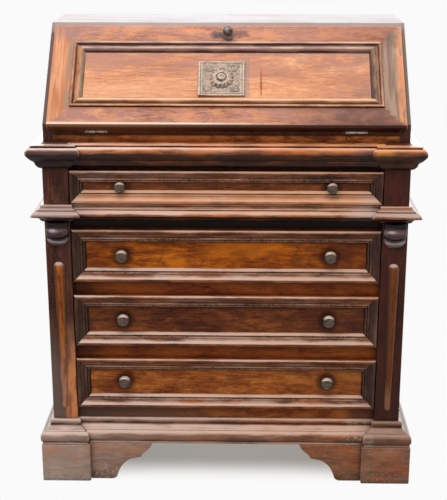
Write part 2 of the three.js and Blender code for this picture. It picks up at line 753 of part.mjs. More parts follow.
// Board of the plinth down one side, cut to a bracket at both ends
function sidePlinth(side) {
  const start = blockLength - blockProjection + seat;
  const length = caseDepth - start;
  const shape = new THREE.Shape();
  shape.moveTo(length, plinthHeight);
  shape.lineTo(length, 0);
  const foot = length - sideFootLength;
  const tip = (length + sideArch) / 2;
  bracketScroll(shape, foot, tip, plinthHeight - bracketFootRound);
  const risen = shape.getPoints(roundSteps).map((p) => [p.x, p.y]);
  const fallen = risen.slice(1).map(([along, up]) => [length - along, up]).reverse();
  const outline = [...risen, ...fallen, [0, plinthHeight]].map(([along, up]) => [start + along, up]);
  const outer = halfWidth + sidePlinthProjection;
  return alongX(outline, span(side, outer - sidePlinthThick, outer));
}

// Pigeonholes inside the desk, with two bays for small drawers below
function galleryCase(foot, top) {
  const back = caseDepth - backThick - frameBackGap;
  const ys = [galleryFront, back];
  const half = galleryHalfWidth;
  const shelf = foot + galleryShelf;
  const parts = [
    solidBlock([-half, half], ys, [top - galleryWall, top]),
    solidBlock([-half, half], ys, [shelf, shelf + galleryWall]),
  ];
  for (const side of [-1, 1]) {
    parts.push(solidBlock(span(side, half - galleryWall, half), ys, [foot, top]));
    parts.push(solidBlock(span(side, galleryDivider, galleryDivider + galleryWall), ys, [foot, top]));
  }
  return geometryOf(join(parts));
}

// Small drawer with its box, front and knob in one piece
function smallDrawer(side, foot) {
  const near = galleryDivider + galleryWall + smallDrawerGap;
  const far = galleryHalfWidth - galleryWall - smallDrawerGap;
  const middle = (near + far) / 2;
  const half = (far - near) / 2;
  const height = galleryShelf - 2 * smallDrawerGap;
  const length = caseDepth - backThick - galleryFront - boardThick;
  const box = drawerBox(
    galleryFront + smallFrontThick - seat, length, half, height - smallDrawerGap, smallWall, smallWall);
  const front = solidBlock([-half, half], [galleryFront, galleryFront + smallFrontThick], [0, height]);
  const knob = turned(knobShares, smallKnobRadius, smallKnobLength);
  knob.translate(0, galleryFront + seat, height / 2);
  return geometryOf(join([box, front, solidOf(knob)])).translate(side * middle, 0, foot);
}

// Carcass boards
piece(secretaire, 'side_board_left', sideBoard(-1), 'case');
piece(secretaire, 'side_board_right', sideBoard(1), 'case');
piece(secretaire, 'top_board', topBoard(), 'case');
const backFoot = lowestDrawerLevel - drawerGap - boardThick;
const backXs = [-innerHalf + fit, innerHalf - fit];
const backPanel = block(backXs, [caseDepth - backThick, caseDepth], [backFoot, topLevel - seat]);
piece(secretaire, 'back_panel', backPanel, 'case');
piece(secretaire, 'bottom_board', geometryOf(bottomBoard(lowestDrawerLevel - drawerGap)), 'case');

// Desk floor, which shows as the rail below the fall
const deskBoard = solidBlock(backXs, [postDepth, caseDepth - backThick - seat], [deskLevel, hingeLevel]);
const deskSeats = [];
for (const side of [-1, 1]) {
  for (const cut of hingeSeats(side, [[-leafClear / 2, leafWidth + fit], [-leafThick - seat, fit]])) {
    deskSeats.push(cut.translate([0, postDepth, hingeLevel]));
  }
}
piece(secretaire, 'desk_floor', geometryOf(join([deskBoard], deskSeats)), 'case');

// Frames between the long drawers
for (const [i, name] of frameNames.entries()) {
  const foot = lowestDrawerLevel + i * drawerPitch + drawerHeight + drawerGap;
  const isUpper = i + 1 === lowerDrawers;
  const top = isUpper ? topDrawerLevel - drawerGap : foot + drawerPitch - drawerHeight - 2 * drawerGap;
  piece(secretaire, name, geometryOf(drawerFrame(foot, top)), 'case');
}

// Corner posts with their corbels and spindles
for (const [name, side] of [['left', -1], ['right', 1]]) {
  const post = block(span(side, postInner, halfWidth), [0, postDepth - seat], [caseFoot, deskLevel - seat]);
  piece(secretaire, `post_${name}`, post, 'case');
  piece(secretaire, `corbel_${name}`, corbel(side), 'moulding');
  piece(secretaire, `spindle_${name}`, spindle(side), 'spindle');
}

// Mouldings: the cornice's front piece is worked on the rail above the top drawer
const corniceFront = solidOf(frontMoulding(corniceShares, corniceProjection, corniceHeight, corniceLevel));
const corniceRail = solidBlock(
  [-postInner + fit, postInner - fit], [centreSetBack - 2 * seat, centreSetBack + railDepth],
  [topDrawerLevel + topDrawerHeight + drawerGap, corniceLevel + corniceHeight]);
piece(secretaire, 'cornice_front', geometryOf(join([corniceFront, corniceRail])), 'moulding');
const waistFront = frontMoulding(waistShares, waistProjection, waistHeight, waistLevel);
piece(secretaire, 'waist_front', waistFront, 'moulding');
const baseFront = frontMoulding(baseShares, baseProjection, baseHeight, caseFoot);
piece(secretaire, 'base_front', baseFront, 'moulding');
for (const [name, side] of [['left', -1], ['right', 1]]) {
  const cornice = sideMoulding(side, corniceShares, corniceProjection, corniceHeight, corniceLevel);
  piece(secretaire, `cornice_${name}`, cornice, 'moulding');
  const waist = sideMoulding(side, waistShares, waistProjection, waistHeight, waistLevel);
  piece(secretaire, `waist_${name}`, waist, 'moulding');
  const base = sideMoulding(side, baseShares, baseProjection, baseHeight, caseFoot);
  piece(secretaire, `base_${name}`, base, 'moulding');
}

// Plinth
for (const [name, side] of [['left', -1], ['right', 1]]) {
  piece(secretaire, `plinth_block_${name}`, cornerBlock(side), 'moulding');
  piece(secretaire, `bracket_${name}`, frontBracket(side), 'moulding');
  piece(secretaire, `side_plinth_${name}`, sidePlinth(side), 'moulding');
}

// Long drawers, counted from the top
longDrawer(
  1, topDrawerLevel, topDrawerHeight, topDrawerFrameWidth, [topKnobRadius, topKnobLength]);
for (let i = 0; i < lowerDrawers; i += 1) {
  const level = lowestDrawerLevel + (lowerDrawers - 1 - i) * drawerPitch;
  longDrawer(2 + i, level, drawerHeight, drawerFrameWidth, [knobRadius, knobLength]);
}

// Fall and what rides on it, laid out up the slope from the hinge axis
const fall = new THREE.Group();
fall.position.set(0, postDepth, hingeLevel);
fall.rotation.x = slope;
secretaire.add(fall);
piece(fall, 'fall_board', fallBoard(), 'fall');
const panel = mouldedFront(
  fallPanelHalfWidth, (fallPanelEnd - fallPanelStart) / 2, fallFrameWidth,
  fallFrameRise + fallPanelSunk, fallFrameShares, fallPocket + fallFrameRise - seat);
panel.translate(0, (fallPanelStart + fallPanelEnd) / 2, fallThick + fallFrameRise);
piece(fall, 'fall_panel', panel, 'fall');
const fallKnob = turned(fallKnobShares, fallKnobRadius, fallKnobLength).rotateX(-Math.PI / 2);
const fallKnobAt = [fallKnobAside, fallLength - fallKnobDrop, fallThick + seat];
piece(fall, 'fall_knob', fallKnob, 'knob').position.set(...fallKnobAt);
const plate = piece(fall, 'fall_plate', embossedPlate(), 'bronze');
plate.position.set(plateAside, plateRise, fallThick - fallPanelSunk + seat);

// Hinges and stays
for (const [name, side] of [['left', -1], ['right', 1]]) {
  const fixed = piece(secretaire, `hinge_leaf_${name}`, hingeLeaf(true, [-leafThick, 0]), 'steel');
  fixed.position.set(side * hingeOut, postDepth, hingeLevel);
  const moving = piece(fall, `hinge_strap_${name}`, hingeLeaf(false, [0, leafThick]), 'steel');
  moving.position.x = side * hingeOut;
  const stay = piece(secretaire, `stay_${name}`, stayBar(side), 'steel');
  stay.position.set(0, ...onFall(stayRise, -stayLift, slope));
  stay.rotation.x = THREE.MathUtils.degToRad(stayClosedAngle);
}

// Fittings of the desk
const galleryFoot = hingeLevel + seat;
piece(secretaire, 'gallery', galleryCase(galleryFoot, topLevel - galleryTopGap), 'inner');
piece(secretaire, 'small_drawer_left', smallDrawer(-1, galleryFoot + seat), 'inner');
piece(secretaire, 'small_drawer_right', smallDrawer(1, galleryFoot + seat), 'inner');

// The origin lies on the floor, in the middle of the chest's outline
secretaire.position.y = -(caseDepth - corniceProjection - seat) / 2;

export default secretaire;
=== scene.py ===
# Looks of the slant-front secretaire chest: metres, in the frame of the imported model.
import math
import bmesh
import bpy
import numpy as np
from mathutils import Matrix, Vector, noise
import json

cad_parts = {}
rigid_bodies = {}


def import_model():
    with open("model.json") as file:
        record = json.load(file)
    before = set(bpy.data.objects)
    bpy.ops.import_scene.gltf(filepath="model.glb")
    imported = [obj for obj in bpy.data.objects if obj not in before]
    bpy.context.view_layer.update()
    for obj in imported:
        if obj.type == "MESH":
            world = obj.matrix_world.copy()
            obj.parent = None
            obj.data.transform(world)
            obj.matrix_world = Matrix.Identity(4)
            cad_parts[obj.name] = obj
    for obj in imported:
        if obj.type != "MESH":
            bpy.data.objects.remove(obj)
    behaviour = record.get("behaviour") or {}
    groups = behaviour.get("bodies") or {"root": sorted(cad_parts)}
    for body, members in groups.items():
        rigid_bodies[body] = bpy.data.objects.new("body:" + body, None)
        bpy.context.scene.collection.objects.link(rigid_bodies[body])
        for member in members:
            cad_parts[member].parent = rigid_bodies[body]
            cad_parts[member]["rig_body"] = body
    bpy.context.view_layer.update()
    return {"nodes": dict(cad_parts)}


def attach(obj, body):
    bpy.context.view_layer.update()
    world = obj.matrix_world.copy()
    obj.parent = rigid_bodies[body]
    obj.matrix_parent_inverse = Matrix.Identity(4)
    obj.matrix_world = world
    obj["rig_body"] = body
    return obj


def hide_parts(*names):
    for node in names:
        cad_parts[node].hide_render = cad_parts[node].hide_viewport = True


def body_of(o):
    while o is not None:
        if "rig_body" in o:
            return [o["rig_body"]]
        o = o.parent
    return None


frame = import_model()
nodes = frame["nodes"]

# The two sides of the chest, by name and sign
SIDES = (("left", -1), ("right", 1))

# Main sizes, as in the source of the part
HALF_WIDTH = 0.4
POST_INNER = 0.344
POST_CENTRE = 0.372
CASE_DEPTH = 0.411
SET_BACK = 0.012
FRONT = -0.1902
SEAT = 0.0002
CASE_FOOT = 0.0922
BASE_HEIGHT, BASE_OUT = 0.0567, 0.0278
WAIST_LEVEL, WAIST_HEIGHT, WAIST_OUT = 0.6233, 0.039, 0.0256
CORNICE_LEVEL, CORNICE_HEIGHT, CORNICE_OUT = 0.7437, 0.0538, 0.0304
DRAWER_HALF = 0.3426
DRAWER_RELIEF = 0.015
DRAWER_CREST = -0.001
FRONT_THICK = 0.024
KNOB_OUT, KNOB_SEAT = 0.232, 0.0138
FALL_ANGLE = math.radians(46.7)
HINGE_Y, HINGE_Z = FRONT + 0.03, 0.8186
FALL_PLACE = Matrix.Translation((0, HINGE_Y, HINGE_Z)) @ Matrix.Rotation(FALL_ANGLE, 4, "X")
FACE_UP = Matrix.Rotation(math.radians(-90), 4, "X")
PANEL_START, PANEL_END, PANEL_HALF, PANEL_LEVEL = 0.0513, 0.2236, 0.343, 0.025
PANEL_MOULDING, PANEL_RELIEF, PANEL_THICK = 0.027, 0.008, 0.0128
FALL_KNOB_PLACE = (0.0015, 0.2395, 0.0202)
FALL_KNOB_RADIUS, FALL_KNOB_LENGTH = 0.0115, 0.032

# Drawers: foot and height of the front, width of its moulding, rise, radius and length of its knobs
LEVELS = [
    (0.6635, 0.0745, 0.029, 0.0005, 0.012, 0.022), (0.4822, 0.122, 0.031, 0.001, 0.014, 0.025),
    (0.3289, 0.122, 0.031, 0.003, 0.014, 0.025), (0.1756, 0.122, 0.031, 0.005, 0.014, 0.025),
]

# Sections as shares, and the tone of each place of them: painted shade and dirt where dark (-1),
# painted highlight and wear where light (1)
BASE_SECTION = [
    (0, 0, -1), (0.85, 0, -0.8), (0.85, 0.03, 0.5), (0.85, 0.085, 0.2), (0.85, 0.11, -1),
    (0.94, 0.165, -0.4), (1, 0.27, -0.1), (1, 0.36, 0.1), (0.98, 0.43, 0.4), (0.92, 0.49, 0.9),
    (0.8, 0.545, 1), (0.74, 0.56, 0.9), (0.71, 0.545, -1), (0.66, 0.545, -1), (0.62, 0.565, 1),
    (0.54, 0.61, 0.5), (0.42, 0.655, 0.6), (0.31, 0.71, 0.4), (0.25, 0.77, -0.9),
    (0.25, 0.86, -0.3), (0.25, 0.94, 0.6), (0.2, 1, 1), (0, 1, 0),
]
WAIST_SECTION = [
    (0, 0, -1), (0.1, 0.025, -1), (0.24, 0.1, -1), (0.34, 0.2, -1), (0.42, 0.25, -1),
    (0.5, 0.28, -1), (0.76, 0.34, -1), (0.96, 0.385, -0.9), (1, 0.42, -0.4), (0.99, 0.49, 0.1),
    (0.94, 0.54, 0.4), (0.88, 0.585, 1), (0.77, 0.64, 1), (0.68, 0.68, 0.7), (0.62, 0.695, 0.3),
    (0.56, 0.7, -1), (0.53, 0.735, -0.8), (0.47, 0.755, 1), (0.41, 0.785, 0.6), (0.34, 0.815, -0.3),
    (0.3, 0.835, 0.9), (0.265, 0.86, -0.7), (0.26, 0.93, 0.2), (0.235, 1, 1), (0, 1, 0.5),
]
CORNICE_SECTION = [
    (0, 0, -1), (0.05, 0.005, -1), (0.17, 0.04, -1), (0.27, 0.09, -1), (0.36, 0.155, -0.9),
    (0.42, 0.23, -0.8), (0.435, 0.29, -0.8), (0.5, 0.305, -0.5), (0.51, 0.34, -1),
    (0.63, 0.385, -1), (0.74, 0.45, -1), (0.85, 0.52, -1), (0.94, 0.59, -1), (0.99, 0.65, -0.7),
    (1, 0.71, -0.2), (0.98, 0.78, 0), (0.93, 0.83, 0.1), (0.88, 0.862, 0.6), (0.82, 0.89, 1),
    (0.74, 0.915, 0.4), (0.67, 0.915, -0.7), (0.67, 0.97, -0.5), (0.645, 1, 0.9), (0, 1, 0.3),
]
DRAWER_SECTION = [
    (0, 0.3), (0.03, 0.1), (0.09, 0), (0.24, 0), (0.27, 0.05), (0.33, 0.2), (0.42, 0.38),
    (0.52, 0.5), (0.6, 0.55), (0.61, 0.48), (0.73, 0.48), (0.74, 0.68), (0.8, 0.68), (0.81, 0.56),
    (0.88, 0.62), (0.95, 0.8), (1, 1),
]
# Tones of the drawer section for its top, sides and foot: painted shade and dirt where dark,
# painted highlight and wear where light
DRAWER_TOP_TONES = (
    -0.2, 0.9, 0.5, -0.6, -0.1, 0, 0, -0.1, -0.8, 0.2, 0, -0.9, -0.9, -0.2, -0.2, -0.6, -0.9)
DRAWER_SIDE_TONES = (
    -0.5, 0.1, 0.1, -0.1, -0.1, -0.2, -0.2, -0.3, -0.8, 0.1, 0, -0.9, -0.9, 0, -0.1, -0.5, -0.9)
DRAWER_FOOT_TONES = (
    -0.8, -0.6, -0.3, -0.1, 1, 1, 0.4, 0.2, 0, 0.4, 0.1, -0.9, -0.9, 0.3, 1, 0.9, 0.3)
FALL_SECTION = [
    (0, 0.1), (0.03, 0), (0.17, 0), (0.23, 0.18), (0.32, 0.4), (0.41, 0.45), (0.48, 0.35),
    (0.56, 0.15), (0.65, 0.075), (0.75, 0.2), (0.84, 0.52), (0.93, 0.9), (1, 1),
]
# Tones of the section of the fall's moulding: painted shade and dirt where dark, painted highlight
# and wear where light
FALL_TOP_TONES = (-0.9, 0.7, 0.4, -1, -0.9, -0.4, -0.1, 0.3, 0.4, 0, -0.5, -1, -1)
FALL_SIDE_TONES = (-0.9, 0.3, 0.1, -1, -0.4, 0, 0.1, 0.2, 0.1, 0, 0, -0.2, -0.7)
FALL_FOOT_TONES = (-1, 0.1, 0.5, -0.6, -1, -0.9, -0.4, 0.5, 1, 1, 0.8, 0.3, -0.4)
KNOB_SECTION = [
    (0, 0), (0.5, 0), (0.5, 0.05), (0.42, 0.14), (0.42, 0.26), (0.52, 0.36), (0.8, 0.44),
    (0.95, 0.5), (1, 0.58), (0.99, 0.7), (0.94, 0.82), (0.84, 0.91), (0.74, 0.95), (0.66, 0.945),
    (0.6, 0.93), (0.5, 0.95), (0.3, 0.985), (0, 1),
]
FALL_KNOB_SECTION = [
    (0, 0), (0.85, 0), (0.85, 0.08), (0.6, 0.16), (0.45, 0.22), (0.45, 0.3), (0.7, 0.35),
    (0.9, 0.45), (1, 0.6), (0.96, 0.75), (0.8, 0.88), (0.5, 0.97), (0, 1),
]


# Colour written as the usual 0 to 255 numbers
def tint(red, green, blue):
    linear = []
    for part in (red, green, blue):
        share = part / 255
        linear.append(share / 12.92 if share <= 0.04045 else ((share + 0.055) / 1.055) ** 2.4)
    return (*linear, 1)


# Node tree with short calls, where a node gives its outputs
class Tree:
    # Starts from an empty tree and the surface of its output
    def __init__(self, owner, end="ShaderNodeOutputMaterial"):
        owner.use_nodes = True
        self.tree = owner.node_tree
        self.tree.nodes.clear()
        self.end = self.tree.nodes.new(end).inputs["Surface"]

    def put(self, socket, value):
        if isinstance(value, bpy.types.NodeSocket):
            self.tree.links.new(value, socket)
        else:
            socket.default_value = value

    def node(self, kind, inputs=None, **settings):
        made = self.tree.nodes.new(kind)
        for key, value in settings.items():
            setattr(made, key, value)
        for key, value in (inputs or {}).items():
            self.put(made.inputs[key], value)
        return made.outputs

    # A name stands for a coordinate of the place, a tuple for a ramp
    def value(self, given):
        if isinstance(given, str):
            return getattr(self, given)
        return self.ramp(*given) if isinstance(given, tuple) else given

    def math(self, operation, *values):
        inputs = {i: self.value(given) for i, given in enumerate(values)}
        return self.node("ShaderNodeMath", inputs, operation=operation)[0]

    def vector(self, operation, *values):
        return self.node("ShaderNodeVectorMath", dict(enumerate(values)), operation=operation)

    def ramp(self, value, low, high, start=0.0, end=1.0):
        inputs = {"Value": self.value(value), "From Min": low, "From Max": high, "To Min": start,
                  "To Max": end}
        return self.node("ShaderNodeMapRange", inputs, interpolation_type="SMOOTHSTEP")[0]

    # One shader beside another, by a share
    def blend(self, share, first, second):
        return self.node("ShaderNodeMixShader", {0: share, 1: first, 2: second})[0]

    # Is this ray one of the kinds
    def seen(self, *kinds):
        rays = self.node("ShaderNodeLightPath")
        share = rays[kinds[0]]
        for kind in kinds[1:]:
            share = self.math("MAXIMUM", share, rays[kind])
        return share


# Material of one look: a running colour on which each layer lies
class Shader(Tree):
    def __init__(self, name):
        self.material = bpy.data.materials.new(name)
        super().__init__(self.material)
        self.shader = self.tree.nodes.new("ShaderNodeBsdfPrincipled")
        self.put(self.end, self.shader.outputs["BSDF"])
        coordinates = self.node("ShaderNodeTexCoord")
        self.place = coordinates["Object"]
        self.normal = coordinates["Normal"]
        self.x, self.y, self.z = self.node("ShaderNodeSeparateXYZ", {0: self.place})
        self.side = self.math("ABSOLUTE", self.x)
        self.up = self.facing(2)

    def surface(self, values):
        for key, value in values.items():
            self.put(self.shader.inputs[key], value)

    def mix(self, share, *colours):
        first, second = [tint(*c) if isinstance(c, tuple) else c for c in colours]
        inputs = {0: self.value(share), 6: first, 7: second}
        return self.node("ShaderNodeMix", inputs, data_type="RGBA")[2]

    def lay(self, colour, *shares):
        self.colour = self.mix(self.times(*shares), self.colour, colour)

    def times(self, *shares):
        product = self.value(shares[0])
        for share in shares[1:]:
            product = self.math("MULTIPLY", product, share)
        return product

    def add(self, first, second):
        return self.math("ADD", first, second)

    def less(self, first, second):
        return self.math("SUBTRACT", first, second)

    def noise(self, scale, detail, rough, bend=0.0, source=None):
        inputs = {"Vector": source or self.place, "Scale": scale, "Detail": detail,
                  "Roughness": rough, "Distortion": bend}
        return self.node("ShaderNodeTexNoise", inputs)["Fac"]

    # Noise drawn out along the grain and moved aside by a seed
    def drawn(self, grain, share, seed, *settings):
        inputs = {"Vector": self.place, "Location": (seed, seed * 0.7, seed * 1.3),
                  "Scale": [share if axis == grain else 1.0 for axis in "xyz"]}
        return self.noise(*settings, source=self.node("ShaderNodeMapping", inputs)[0])

    def patches(self, scale, seed, low, high, grain="x", share=0.4):
        return self.ramp(self.drawn(grain, share, seed, scale, 5, 0.66, 0.5), low, high)

    def near(self, distance, inside=False):
        return self.node("ShaderNodeAmbientOcclusion", {"Distance": distance}, samples=5,
                         inside=inside, only_local=inside)["AO"]

    def bump(self, height, strength, distance):
        inputs = {"Strength": strength, "Distance": distance, "Height": height}
        self.surface({"Normal": self.node("ShaderNodeBump", inputs)[0]})

    def tone(self):
        return self.node("ShaderNodeAttribute", attribute_name="tone")["Fac"]

    def facing(self, axis):
        return self.node("ShaderNodeSeparateXYZ", {0: self.normal})[axis]


# How far worn edges and rims reach, and how deep grain and hammered skin go
EDGE_REACH, RIM_REACH = 0.0035, 0.002
GRAIN_DEPTH, SKIN_DEPTH = 0.0006, 0.0003


# Waxed and worn wood: patches, figure and fibres along the grain, dirt and painted shade in
# hollows, wear on edges, painted highlights and shade from the tone, dust and painted sheen on
# upward faces
def wood(name, deep, middle, light, grain="x", seed=0.0, dirt_and_shade=0.75, dirt_and_shade_reach=0.02,
         dirt_and_shade_tone=(30, 16, 10), wear=0.5, worn_and_highlight_tone=(196, 150, 118), dust_and_sheen=0.0,
         dust_and_sheen_tone=(196, 184, 178), rough=(0.3, 0.5), coat=0.03, coat_rough=0.25, shine=0.07,
         relief=0.35, patch=0.3, toned=False, extra=None):
    made = Shader(name)
    wide = made.drawn(grain, 0.32, seed, 15, 4, 0.58, 0.6)
    figure = made.drawn(grain, 0.11, seed + 3, 90, 5, 0.64, 1.0)
    fibres = made.drawn(grain, 0.02, seed + 5, 520, 3, 0.7)
    streaks = made.drawn(grain, 0.13, seed + 7, 280, 4, 0.72, 0.4)
    tone = made.add(made.times(wide, patch), made.times(figure, 0.65 - patch))
    tone = made.add(tone, made.times(streaks, 0.35))
    made.colour = made.mix((tone, 0.39, 0.51), deep, middle)
    made.lay(light, (tone, 0.49, 0.61))
    pores = made.drawn(grain, 0.05, seed + 9, 640, 3, 0.7)
    made.lay(deep, (pores, 0.54, 0.7, 0, 0.5))
    specks = made.drawn(grain, 0.55, seed + 13, 330, 3, 0.75)
    made.lay(deep, (specks, 0.53, 0.68, 0, 0.4))
    made.lay(light, (specks, 0.47, 0.32, 0, 0.35))
    worn_and_highlight_colour = worn_and_highlight_tone(made) if callable(worn_and_highlight_tone) else worn_and_highlight_tone
    if extra:
        extra(made)
    spots = made.noise(120, 4, 0.6)
    if wear:
        edges = made.near(EDGE_REACH, inside=True)
        made.lay(worn_and_highlight_colour, (edges, 0.82, 0.5), (spots, 0.35, 0.62), wear)
    # Painted highlight and wear where the tone is light, painted shade and dirt where it is dark
    if toned:
        uneven = made.ramp(made.drawn(grain, 0.25, seed + 11, 50, 4, 0.6), 0.3, 0.7, -0.3, 0.4)
        level = made.add(made.tone(), uneven)
        made.lay(worn_and_highlight_colour, (level, 0.0, 1.0), 0.95)
        made.lay(dirt_and_shade_tone, (level, 0.0, -0.9), 0.9)
    # Dust and a painted sheen on faces turned upwards
    if dust_and_sheen:
        made.lay(dust_and_sheen_tone, ("up", 0.25, 0.95), (wide, 0.3, 0.6, 0.6, 1), dust_and_sheen)
    # Dirt and painted shade where other surfaces come near
    if dirt_and_shade:
        made.lay(dirt_and_shade_tone, (made.near(dirt_and_shade_reach), 0.78, 0.3), dirt_and_shade)
    made.surface({"Base Color": made.colour, "Roughness": made.ramp(figure, 0.3, 0.7, *rough),
                  "Specular IOR Level": shine, "Coat Weight": coat, "Coat Roughness": coat_rough})
    height = made.add(made.times(fibres, 0.5), made.times(figure, 0.9))
    made.bump(made.add(height, made.times(spots, 0.4)), relief, GRAIN_DEPTH)
    return made.material


# Aged metal: blotches of patina, bright rims, dark hollows of patina and painted shade, a painted
# highlight on upward faces and a hammered skin
def metal(name, dark, middle, bright, rough=(0.3, 0.55), metallic=1.0, seed=0.0, wear=0.8,
          reach=0.006, dirt_and_shade_tone=(28, 22, 18), top_highlight=0.0, top_highlight_tone=(206, 190, 182), extra=None):
    made = Shader(name)
    blotch = made.drawn("x", 1.0, seed, 90, 5, 0.6, 0.4)
    fine = made.drawn("x", 1.0, seed + 2, 800, 4, 0.6)
    made.colour = made.mix((blotch, 0.36, 0.6), dark, middle)
    if extra:
        extra(made)
    made.lay(bright, (made.near(RIM_REACH, inside=True), 0.8, 0.45, 0, wear))
    # Painted highlight on faces turned upwards
    if top_highlight:
        made.lay(top_highlight_tone, ("up", 0.3, 0.75, 0, top_highlight))
    # Dark hollows: patina and painted shade
    made.lay(dirt_and_shade_tone, (made.near(reach), 0.75, 0.3, 0, 0.8))
    made.surface({"Base Color": made.colour, "Roughness": made.ramp(blotch, 0.3, 0.7, *rough),
                  "Metallic": metallic})
    made.bump(made.add(fine, blotch), 0.25, SKIN_DEPTH)
    return made.material


# Shares of the left and the right half
LEFT, RIGHT = ("x", 0.1, -0.1), ("x", -0.1, 0.1)


# Posts and sides: reddish black above, warm beside the left spindle, grey on sloping edges
def post_look(made):
    low = ("z", 0.42, 0.24)
    inner = ("side", 0.378, 0.366)
    front = ("y", -0.17, -0.185)
    mottled = made.patches(40, 51, 0.36, 0.6, "z", 0.4)
    grey = made.times(low, front, ("x", 0.1, -0.1, 0.3, 0.75))
    made.lay(made.mix(LEFT, (90, 70, 62), (140, 118, 108)), grey)
    warm = made.mix(mottled, (182, 114, 80), (246, 160, 104))
    made.lay(warm, low, inner, front, LEFT, (mottled, 0, 1, 0.75, 1.0))
    made.lay((44, 26, 24), RIGHT, front, 0.6)
    made.lay((104, 48, 38), RIGHT, front, mottled, 0.45)
    sloping = made.times(("z", 0.82, 0.825), ("up", 0.4, 0.6))
    made.lay(made.mix(LEFT, (150, 136, 124), (118, 100, 98)), sloping, 0.7)


# Rails between the drawers: dark at the left end, painted shade under the waist and the cornice,
# and the painted shadow of the fall along the rail under it
def rail_look(made):
    bright = made.patches(26, 55, 0.4, 0.6)
    made.lay((176, 92, 40), bright, 0.55)
    made.lay((52, 26, 20), ("x", -0.24, -0.33, 0.0, 0.75))
    # Painted shade under the waist moulding
    made.lay((26, 16, 14), ("z", 0.6, 0.61), ("z", 0.7, 0.69))
    low = ("z", 0.19, 0.17)
    made.lay((104, 84, 74), low, ("x", 0.1, -0.2), 0.75)
    made.lay((200, 118, 60), low, bright, ("x", -0.15, 0.05), 0.7)
    made.lay((88, 52, 48), low, ("x", 0.265, 0.3), 0.8)
    # Painted shade under the cornice
    under = made.times(("z", 0.728, 0.734), ("z", 0.75, 0.746))
    made.lay((30, 18, 15), under, 0.9)
    high = ("z", 0.78, 0.79)
    band = made.mix(made.patches(60, 57, 0.4, 0.6), (104, 54, 30), (208, 128, 68))
    made.lay(band, high, ("x", -0.3, 0.3, 0.5, 0.85))
    # Painted shadow of the fall's lower edge along the top of the rail
    made.lay((44, 22, 14), ("z", 0.8085, 0.8125, 0.0, 0.94))


case_up = wood(
    "case_upright", (54, 30, 25), (88, 54, 45), (126, 78, 56), "z", 1.0, worn_and_highlight_tone=(164, 116, 90),
    dirt_and_shade_tone=(24, 12, 10), extra=post_look)
case_long = wood(
    "case_lengthwise", (84, 36, 16), (134, 64, 29), (178, 98, 44), "x", 2.0, dirt_and_shade=0.55,
    dirt_and_shade_tone=(34, 15, 9), extra=rail_look)
case_deep = wood("case_depthwise", (66, 38, 26), (104, 68, 52), (140, 100, 78), "y", 3.0)


# Front edge of the top: olive grey along its upper arris, rosy below
def top_look(made):
    front = (made.facing(1), -0.5, -0.8)
    line = ("z", 1.027, 1.0305)
    made.lay((216, 140, 102), front, 0.9)
    made.lay((134, 116, 102), front, line, 0.9)
    ends = ("side", 0.3915, 0.3935)
    made.lay((92, 78, 78), front, ends, 0.9)


# Top: its upper face paled by dust and a painted sheen
top_wood = wood(
    "case_top", (104, 66, 46), (146, 102, 78), (178, 136, 108), "x", 4.0, dust_and_sheen=0.8,
    dust_and_sheen_tone=(170, 170, 175), rough=(0.3, 0.45), coat=0.05, shine=0.24, extra=top_look)


# Front mouldings: mauve at the left break, orange at the right, patches between, grey below
def run_look(made):
    left = ("x", 0.2, -0.2)
    high = ("z", 0.7, 0.74)
    low = ("z", 0.3, 0.2)
    aside = (made.add("side", made.times(high, 0.018)), 0.328, 0.338)
    patch = made.patches(24, 41, 0.45, 0.62, "x", 0.35)
    made.lay((206, 108, 44), patch, (low, 0, 1, 0.85, 0.4))
    mauve = made.mix(high, (168, 138, 130), (88, 64, 66))
    made.lay(mauve, aside, left, 0.9)
    right = ("x", -0.2, 0.2)
    made.lay((156, 96, 64), aside, right, 0.35)
    dark = made.patches(40, 47, 0.4, 0.6, "x", 0.5)
    made.lay((92, 54, 36), aside, right, high, dark, 0.6)
    corner = made.times(high, ("x", 0.308, 0.314), ("x", 0.37, 0.345))
    made.lay((216, 140, 62), corner, 0.7)
    before = made.times(("x", 0.24, 0.3), ("x", 0.325, 0.315))
    made.lay((104, 78, 78), before, high, 0.8)
    waist = made.times(("z", 0.6, 0.61), ("z", 0.68, 0.67))
    made.lay((216, 198, 188), before, waist, 0.6)
    haze = made.times(low, ("x", 0.3, -0.35, 0.05, 0.65))
    made.lay((182, 154, 136), haze)
    made.lay((196, 112, 60), low, patch, ("x", -0.3, 0.1), 0.4)
    made.lay((104, 76, 62), low, ("x", 0.26, 0.35), 0.6)
    pale = made.times(low, ("x", 0.26, 0.29), ("x", 0.345, 0.335))
    made.lay((190, 182, 160), pale, made.patches(120, 49, 0.4, 0.6, "x", 0.8), 0.7)


# Colour of worn edges and painted highlights: rosy above, paler and greyer towards the lower left
def wear_and_highlight_look(made):
    low = ("z", 0.66, 0.5)
    left = ("x", 0.3, -0.35, 0.0, 0.6)
    warm = made.mix(low, (250, 192, 156), (236, 192, 168))
    cornice = made.times(("z", 0.73, 0.75), ("x", -0.32, -0.05))
    warm = made.mix(made.times(cornice, 0.85), warm, (232, 148, 88))
    right = made.times(("z", 0.4, 0.2), ("x", 0.28, 0.35))
    warm = made.mix(made.times(right, 0.85), warm, (164, 128, 108))
    waist = made.times(("z", 0.59, 0.6), ("z", 0.662, 0.655))
    ends = ("side", 0.24, 0.34, 0.0, 0.85)
    foot = made.times(("z", 0.662, 0.664), ("z", 0.703, 0.697))
    warm = made.mix(made.times(left, (foot, 0, 1, 1.0, 0.35)), warm, (240, 214, 204))
    return made.mix(made.times(waist, ends), warm, (204, 180, 174))


